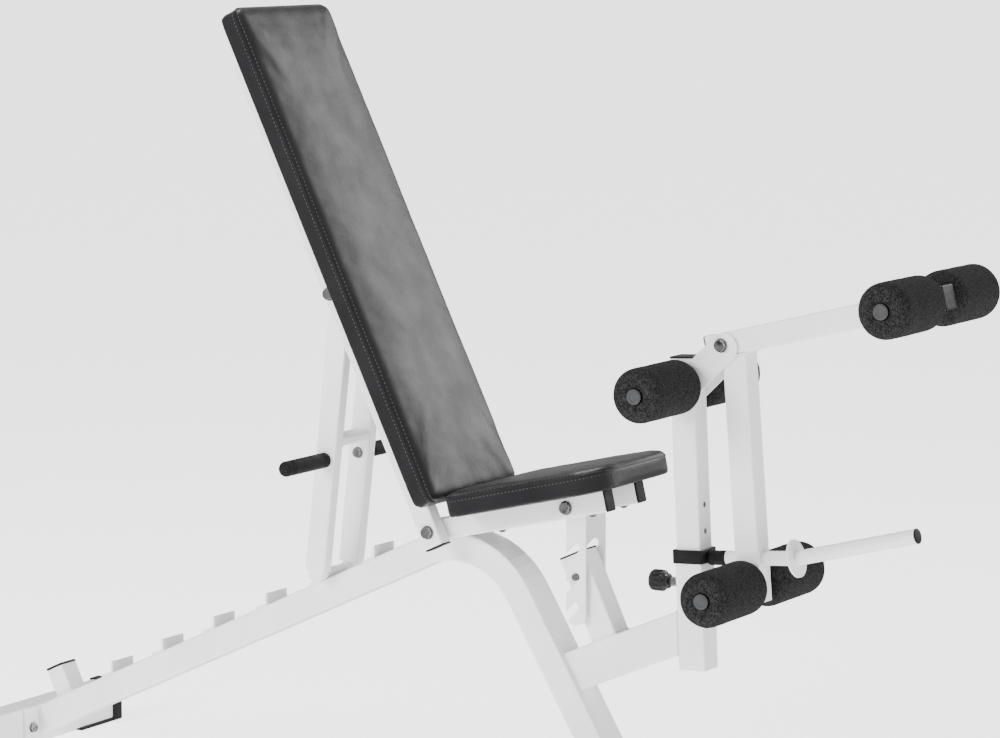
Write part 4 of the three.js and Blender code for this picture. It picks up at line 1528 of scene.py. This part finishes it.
def screw_form() -> Form:
    """Returns a pan-head screw with a washer, looking along +Z from a face at 0."""
    form = Form()
    form.turned([(2.2, 0.2), (8.2, 0.2), (8.4, 0.5), (8.2, 1.3), (2.2, 1.4)], axis=Axis.ALONG_Z, closed=True)
    form.turned(
        [(0, 0.6), (5.2, 0.6), (5.4, 2.4), (4.9, 3.6), (3.6, 4.4), (1.4, 4.7), (1.1, 3.6), (0, 3.5)],
        axis=Axis.ALONG_Z, segments=28,
    )
    return form


@dataclass
class SeatRest:
    """The seat cushion on its two rails."""

    rail_y: float = 55.5

    def make(self) -> None:
        """Builds the seat."""
        start, end, run, nose = 66.5, 380.0, 42.0, PAD_HALF - 50.0
        corners = [
            (start, -PAD_HALF), (end - run, -PAD_HALF), (end, -nose), (end, nose), (end - run, PAD_HALF),
            (start, PAD_HALF),
        ]
        Cushion(
            "seat", "seat", SEAT, Lie.UP, corners, 20.0, 44.3, seam=32.0,
            stands_for=("seat_pad", "seat_board"), bare=((34, 77),),
        ).make()
        for name, side in SIDES:
            TubeCap(
                f"seat_rail_end_{name}", f"seat_rail_cap_{name}", "seat", SEAT_RAILS, (38, 30), 335.3,
                side * self.rail_y,
            ).make()
            form, turn = Form(), Matrix.Rotation(math.pi, 4, "X")
            for along in (120.0, 300.0):
                spot = Matrix.Translation((along, side * self.rail_y, -19.2))
                form.joined(screw_form().moved(spot @ turn))
            form.piece(f"seat_screws_{name}", "seat", ZINC, SEAT)
        bolt = Bolt(6, -70.5, 70.5).form().moved(Matrix.Translation((260, 0, 0)))
        bolt.piece("ladder_hanger_bolt", "seat", ZINC, SEAT, ["ladder_pivot_bolt"])


@dataclass
class BackSupport:
    """The two legs behind the back, with their grips."""

    grip_down: float = 299.0
    grip_radius: float = 5.0

    def make(self) -> None:
        """Builds the grips, their bolts and the welds at the brace."""
        for name, side in SIDES:
            grip_form(side, 67.8, 130, 13.5, -self.grip_down).piece(
                f"hand_grip_{name}", "back_support", RUBBER, SUPPORT, [f"support_grip_{name}"]
            )
            form = self._stud()
            if side < 0:
                form.moved(Matrix.Scale(-1, 4, (0, 1, 0)))
            form.piece(f"hand_grip_bolt_{name}", "back_support", ZINC, SUPPORT, [f"grip_bolt_{name}"])
        welds = Welds("back_support")
        for _, side in SIDES:
            welds.section(SUPPORT, 3, side * 42.1, -266, (34.6, 16.6), 1.6)
        welds.make("support_welds")

    def _stud(self) -> Form:
        """Returns the bolt that holds a grip: its head inside the leg's inner face, its shank in the grip."""
        r, face = self.grip_radius, 42.5
        form = Bolt(r, face, 80).head()
        form.turned([(0, face - 4), (r, face - 4), (r, 185), (0, 186)], segments=24)
        return form.moved(Matrix.Translation((0, 0, -self.grip_down)))


@dataclass
class LegDeveloper:
    """The sliding post, the pull pin and the swinging arm with its rollers and horn."""

    def make(self) -> None:
        """Builds the leg developer."""
        TubeCap("inner_post_end_cap", "inner_post_cap", "leg_post", RECEIVER, (46, 44.2), 442.3).make()
        TubeCap("beam_end_cap_rear", "beam_cap_rear", "leg_arm", BEAM, (41, 43.4), -33.3, up=False).make()
        TubeCap("beam_end_cap_front", "beam_cap_front", "leg_arm", BEAM, (41, 43.4), 404.3).make()
        pivot = Bolt(6, -27.5, 27.5).form()
        pivot.piece("arm_hinge_bolt", "leg_post", ZINC, Station(*ARM_PIVOT), ["arm_pivot_bolt"])
        RollerPair("upper", "leg_post", (447.299, 756.559)).make()
        RollerPair("front", "leg_arm", (883.312, 918.766)).make()
        RollerPair("lower", "leg_arm", (572.079, 429.708)).make()
        self._bumper()
        self._horn_plug()
        self._knob()
        self._welds()

    def _bumper(self) -> None:
        """Builds the rubber bumper on the arm's stub."""
        lean, swung = math.radians(POST_LEAN), math.radians(1.7)
        collar = 25 + GAP + 2.5 + GAP
        tip = (collar - 77.4 - 20 * math.cos(lean) - 344.5 * math.sin(swung)) / math.cos(swung)
        profile = [
            (0, 0), (9.5, 0), (11.6, 0.7), (12.5, 2.4), (12.5, 9), (11.9, 10), (12.5, 11), (12.5, 30.5),
            (12.1, 32.2), (10.8, 33), (0, 33),
        ]
        form = Form().turned([(r, tip + a) for r, a in profile], (0, 0, -HORN_DOWN), Axis.ALONG_X, 40)
        form.piece("rubber_bumper", "leg_arm", RUBBER, ARM, ["arm_bumper"])

    def _horn_plug(self) -> None:
        """Builds the plug in the end of the plate horn."""
        start = Station(*ARM.point(22 + 59, -HORN_DOWN), ARM.lean + 10)
        profile = [
            (0, 210), (10.2, 210), (10.4, 222.1), (12.6, 222.1), (13, 222.8), (12.9, 224.4), (11.9, 225.3),
            (8, 225.7), (0, 225.8),
        ]
        form = Form().turned(profile, (0, 0, 0), Axis.ALONG_X, 36)
        form.piece("horn_end_plug", "leg_arm", MOULDED, start)

    def _knob(self) -> None:
        """Builds the fluted knob and the steel rod that it pulls."""
        front = PIN_FACE - 2.5 - 21 - 6
        rear, radius = front - 28, 18.5
        grip = (
            (0, 1.4), (7, 1.2), (9, 0.4), (13, 0), (15.6, 0.8), (17.4, 2.6), (radius, 6), (radius, 11),
            (radius, 17), (radius, 22),
        )
        neck = (
            (17.6, -3.4), (15.8, -1.6), (14, -0.6), (13.2, 0.6), (13, 3), (12.6, 5), (11.6, 6), (5.2, 6),
            (5.2, -4), (0, -4),
        )
        profile = [(r, rear + along) for r, along in grip] + [(r, front + along) for r, along in neck]

        ribs = 12

        def flute(angle: float, along: float) -> float:
            """Gives the rounded ribs of the knob's rim.

            Args:
                angle: the angle round the axis, radians.
                along: the distance along the axis.

            Returns:
                The factor on the radius.
            """
            if not rear + 1 < along < front - 1:
                return 1.0
            wave = 0.5 - 0.5 * math.cos(ribs * angle)
            fade = min(1.0, (along - rear) / 5, (front - along) / 5)
            return 1 - 0.13 * fade * wave ** 2

        form = Form().turned(profile, (0, 0, PIN_HEIGHT), Axis.ALONG_X, 12 * ribs, swell=flute)
        form.piece("pull_knob_grip", "pull_pin", KNOB_PLASTIC, FLOOR, ["pull_knob"], crease=50)
        tip = PIN_FACE + 1.2
        rod = [(0, front - 3), (4.7, front - 3), (4.7, tip - 0.8), (3.9, tip), (0, tip)]
        Form().turned(rod, (0, 0, PIN_HEIGHT), Axis.ALONG_X, 28).piece("pull_rod", "pull_pin", ZINC)

    def _welds(self) -> None:
        """Adds the beads on the arm."""
        welds = Welds("leg_arm")
        angle = math.radians(BEAM_RISE)
        under = BEAM.point(20.4, 20)
        welds.ring(mouth(tube_outline(44.6, 44.6), ARM, under, (math.sin(angle), -math.cos(angle))))
        up, across = ARM.axes()[1], Vector((0, 1, 0))
        for x, radius in ((22.6, 13.2), (-22.6, 12.7)):
            px, pz = ARM.point(x, -HORN_DOWN)
            welds.ring(circle(radius, Vector((px, 0, pz)), across, up), 1.7)
        welds.make("arm_welds")


# ---------------------------------------------------------------- finish of the CAD nodes
def coat_cad_nodes() -> None:
    """Gives every CAD node that still shows its finish and smooth roundings."""
    by_slot = {
        "white_steel": POWDER_COAT,
        "zinc_steel": ZINC,
        "black_plastic": MOULDED,
        "black_rubber": RUBBER,
        "black_foam": FOAM,
        "black_upholstery": VINYL,
        "pad_board": BACKING,
    }
    for row in frame["record"]["subparts"]:
        node = frame["nodes"][row["node"]]
        mesh = node.data
        mesh.materials.clear()
        mesh.materials.append(by_slot[row["material_slot"]].material())
        if node.hide_render:
            continue
        if mesh.attributes.get("custom_normal"):
            mesh.attributes.remove(mesh.attributes["custom_normal"])
        mesh.polygons.foreach_set("use_smooth", [True] * len(mesh.polygons))
        mesh.set_sharp_from_angle(angle=math.radians(38))
        even = node.modifiers.new("even_normals", "WEIGHTED_NORMAL")
        even.keep_sharp = True


# ---------------------------------------------------------------- studio
@dataclass(frozen=True)
class Lamp:
    """A square soft light that looks at the bench.

    Attributes:
        name: its name.
        place: where it hangs, metres.
        size: its side, metres.
        power: its power, watts.
        mirrored: whether glossy faces mirror it.
        spread: whether it lights matte faces.
    """

    name: str
    place: tuple[float, float, float]
    size: float
    power: float
    mirrored: bool = True
    spread: bool = True

    def hang(self, target: Vector) -> None:
        """Hangs the light.

        Args:
            target: the point that it looks at, metres.
        """
        lamp = bpy.data.lights.new(self.name, "AREA")
        lamp.shape, lamp.size, lamp.energy = "SQUARE", self.size, self.power
        made = bpy.data.objects.new(self.name, lamp)
        made.location = self.place
        made.rotation_euler = (target - Vector(self.place)).to_track_quat("-Z", "Y").to_euler()
        made.visible_glossy, made.visible_diffuse = self.mirrored, self.spread
        bpy.context.scene.collection.objects.link(made)


@dataclass(frozen=True)
class Studio:
    """The pale floor, soft light and camera.

    Attributes:
        target: the point that the camera and the lights look at, metres.
        distance: how far the camera stands from it, metres.
        azimuth, elevation: where the camera stands, degrees.
        lens: its focal length, mm.
        reach: how far the floor runs each way, metres.
        glow: the strength of the floor's own light.
        fill: the strength of the light from all round.
        wall: how bright the wall behind the bench looks.
        lamps: the lights.
    """

    target: tuple[float, float, float] = (0.0944, 0.0, 0.7596)
    distance: float = 6.5
    azimuth: float = 30.0
    elevation: float = 7.0
    lens: float = 136.26
    reach: float = 220.0
    glow: float = 2.2
    fill: float = 0.5
    wall: float = 3.2
    lamps: tuple[Lamp, ...] = (
        Lamp("key", (-2.2, -4.8, 2.6), 2.4, 360, mirrored=False),
        Lamp("sheen", (2.2, 4.6, 2.6), 3.0, 100, spread=False),
        Lamp("front", (5.0, -1.2, 2.6), 1.6, 25, mirrored=False),
        Lamp("top", (-0.6, 0.6, 5.0), 2.4, 150),
    )

    def make(self) -> None:
        """Builds the studio."""
        self._floor()
        self._world()
        for lamp in self.lamps:
            lamp.hang(Vector(self.target))
        self._camera()

    def _floor(self) -> None:
        """Lays a wide pale floor."""
        mesh = bpy.data.meshes.new("studio_floor")
        reach = self.reach
        corners = [(-reach, -reach, 0), (reach, -reach, 0), (reach, reach, 0), (-reach, reach, 0)]
        mesh.from_pydata(corners, [], [(0, 1, 2, 3)])
        floor = bpy.data.objects.new("studio_floor", mesh)
        paper = bpy.data.materials.new("pale_floor")
        paper.use_nodes = True
        shader = paper.node_tree.nodes["Principled BSDF"]
        shader.inputs["Base Color"].default_value = (0.93, 0.93, 0.93, 1)
        shader.inputs["Roughness"].default_value = 0.9
        shader.inputs["Emission Color"].default_value = (1, 1, 1, 1)
        shader.inputs["Emission Strength"].default_value = self.glow
        mesh.materials.append(paper)
        floor.visible_glossy = False
        bpy.context.scene.collection.objects.link(floor)

    def _world(self) -> None:
        """Fills the room with even white light, and a wall as bright as the floor."""
        world = bpy.data.worlds.new("studio")
        world.use_nodes = True
        sky = world.node_tree.nodes["Background"]
        sky.inputs["Color"].default_value = (1, 1, 1, 1)
        ray = world.node_tree.nodes.new("ShaderNodeLightPath")
        wall = world.node_tree.nodes.new("ShaderNodeMapRange")
        wall.inputs["To Min"].default_value, wall.inputs["To Max"].default_value = self.fill, self.wall
        world.node_tree.links.new(ray.outputs["Is Camera Ray"], wall.inputs["Value"])
        world.node_tree.links.new(wall.outputs["Result"], sky.inputs["Strength"])
        bpy.context.scene.world = world

    def _camera(self) -> None:
        """Sets the camera."""
        a, e = math.radians(self.azimuth), math.radians(self.elevation)
        back = Vector((math.sin(a) * math.cos(e), -math.cos(a) * math.cos(e), math.sin(e)))
        lens = bpy.data.cameras.new("camera")
        lens.lens, lens.sensor_width = self.lens, 36.0
        lens.clip_end = 400
        made = bpy.data.objects.new("camera", lens)
        made.location = Vector(self.target) + back * self.distance
        made.rotation_euler = (-back).to_track_quat("-Z", "Y").to_euler()
        bpy.context.scene.collection.objects.link(made)
        bpy.context.scene.camera = made


def main() -> None:
    """Builds the bench, then the studio."""
    logging.basicConfig(level=logging.INFO, format="%(name)s: %(message)s")
    for part in (BaseFrame(), BackRest(), SeatRest(), BackSupport(), LegDeveloper()):
        part.make()
    coat_cad_nodes()
    Studio().make()
    bpy.context.view_layer.update()


if __name__ == "__main__":
    main()
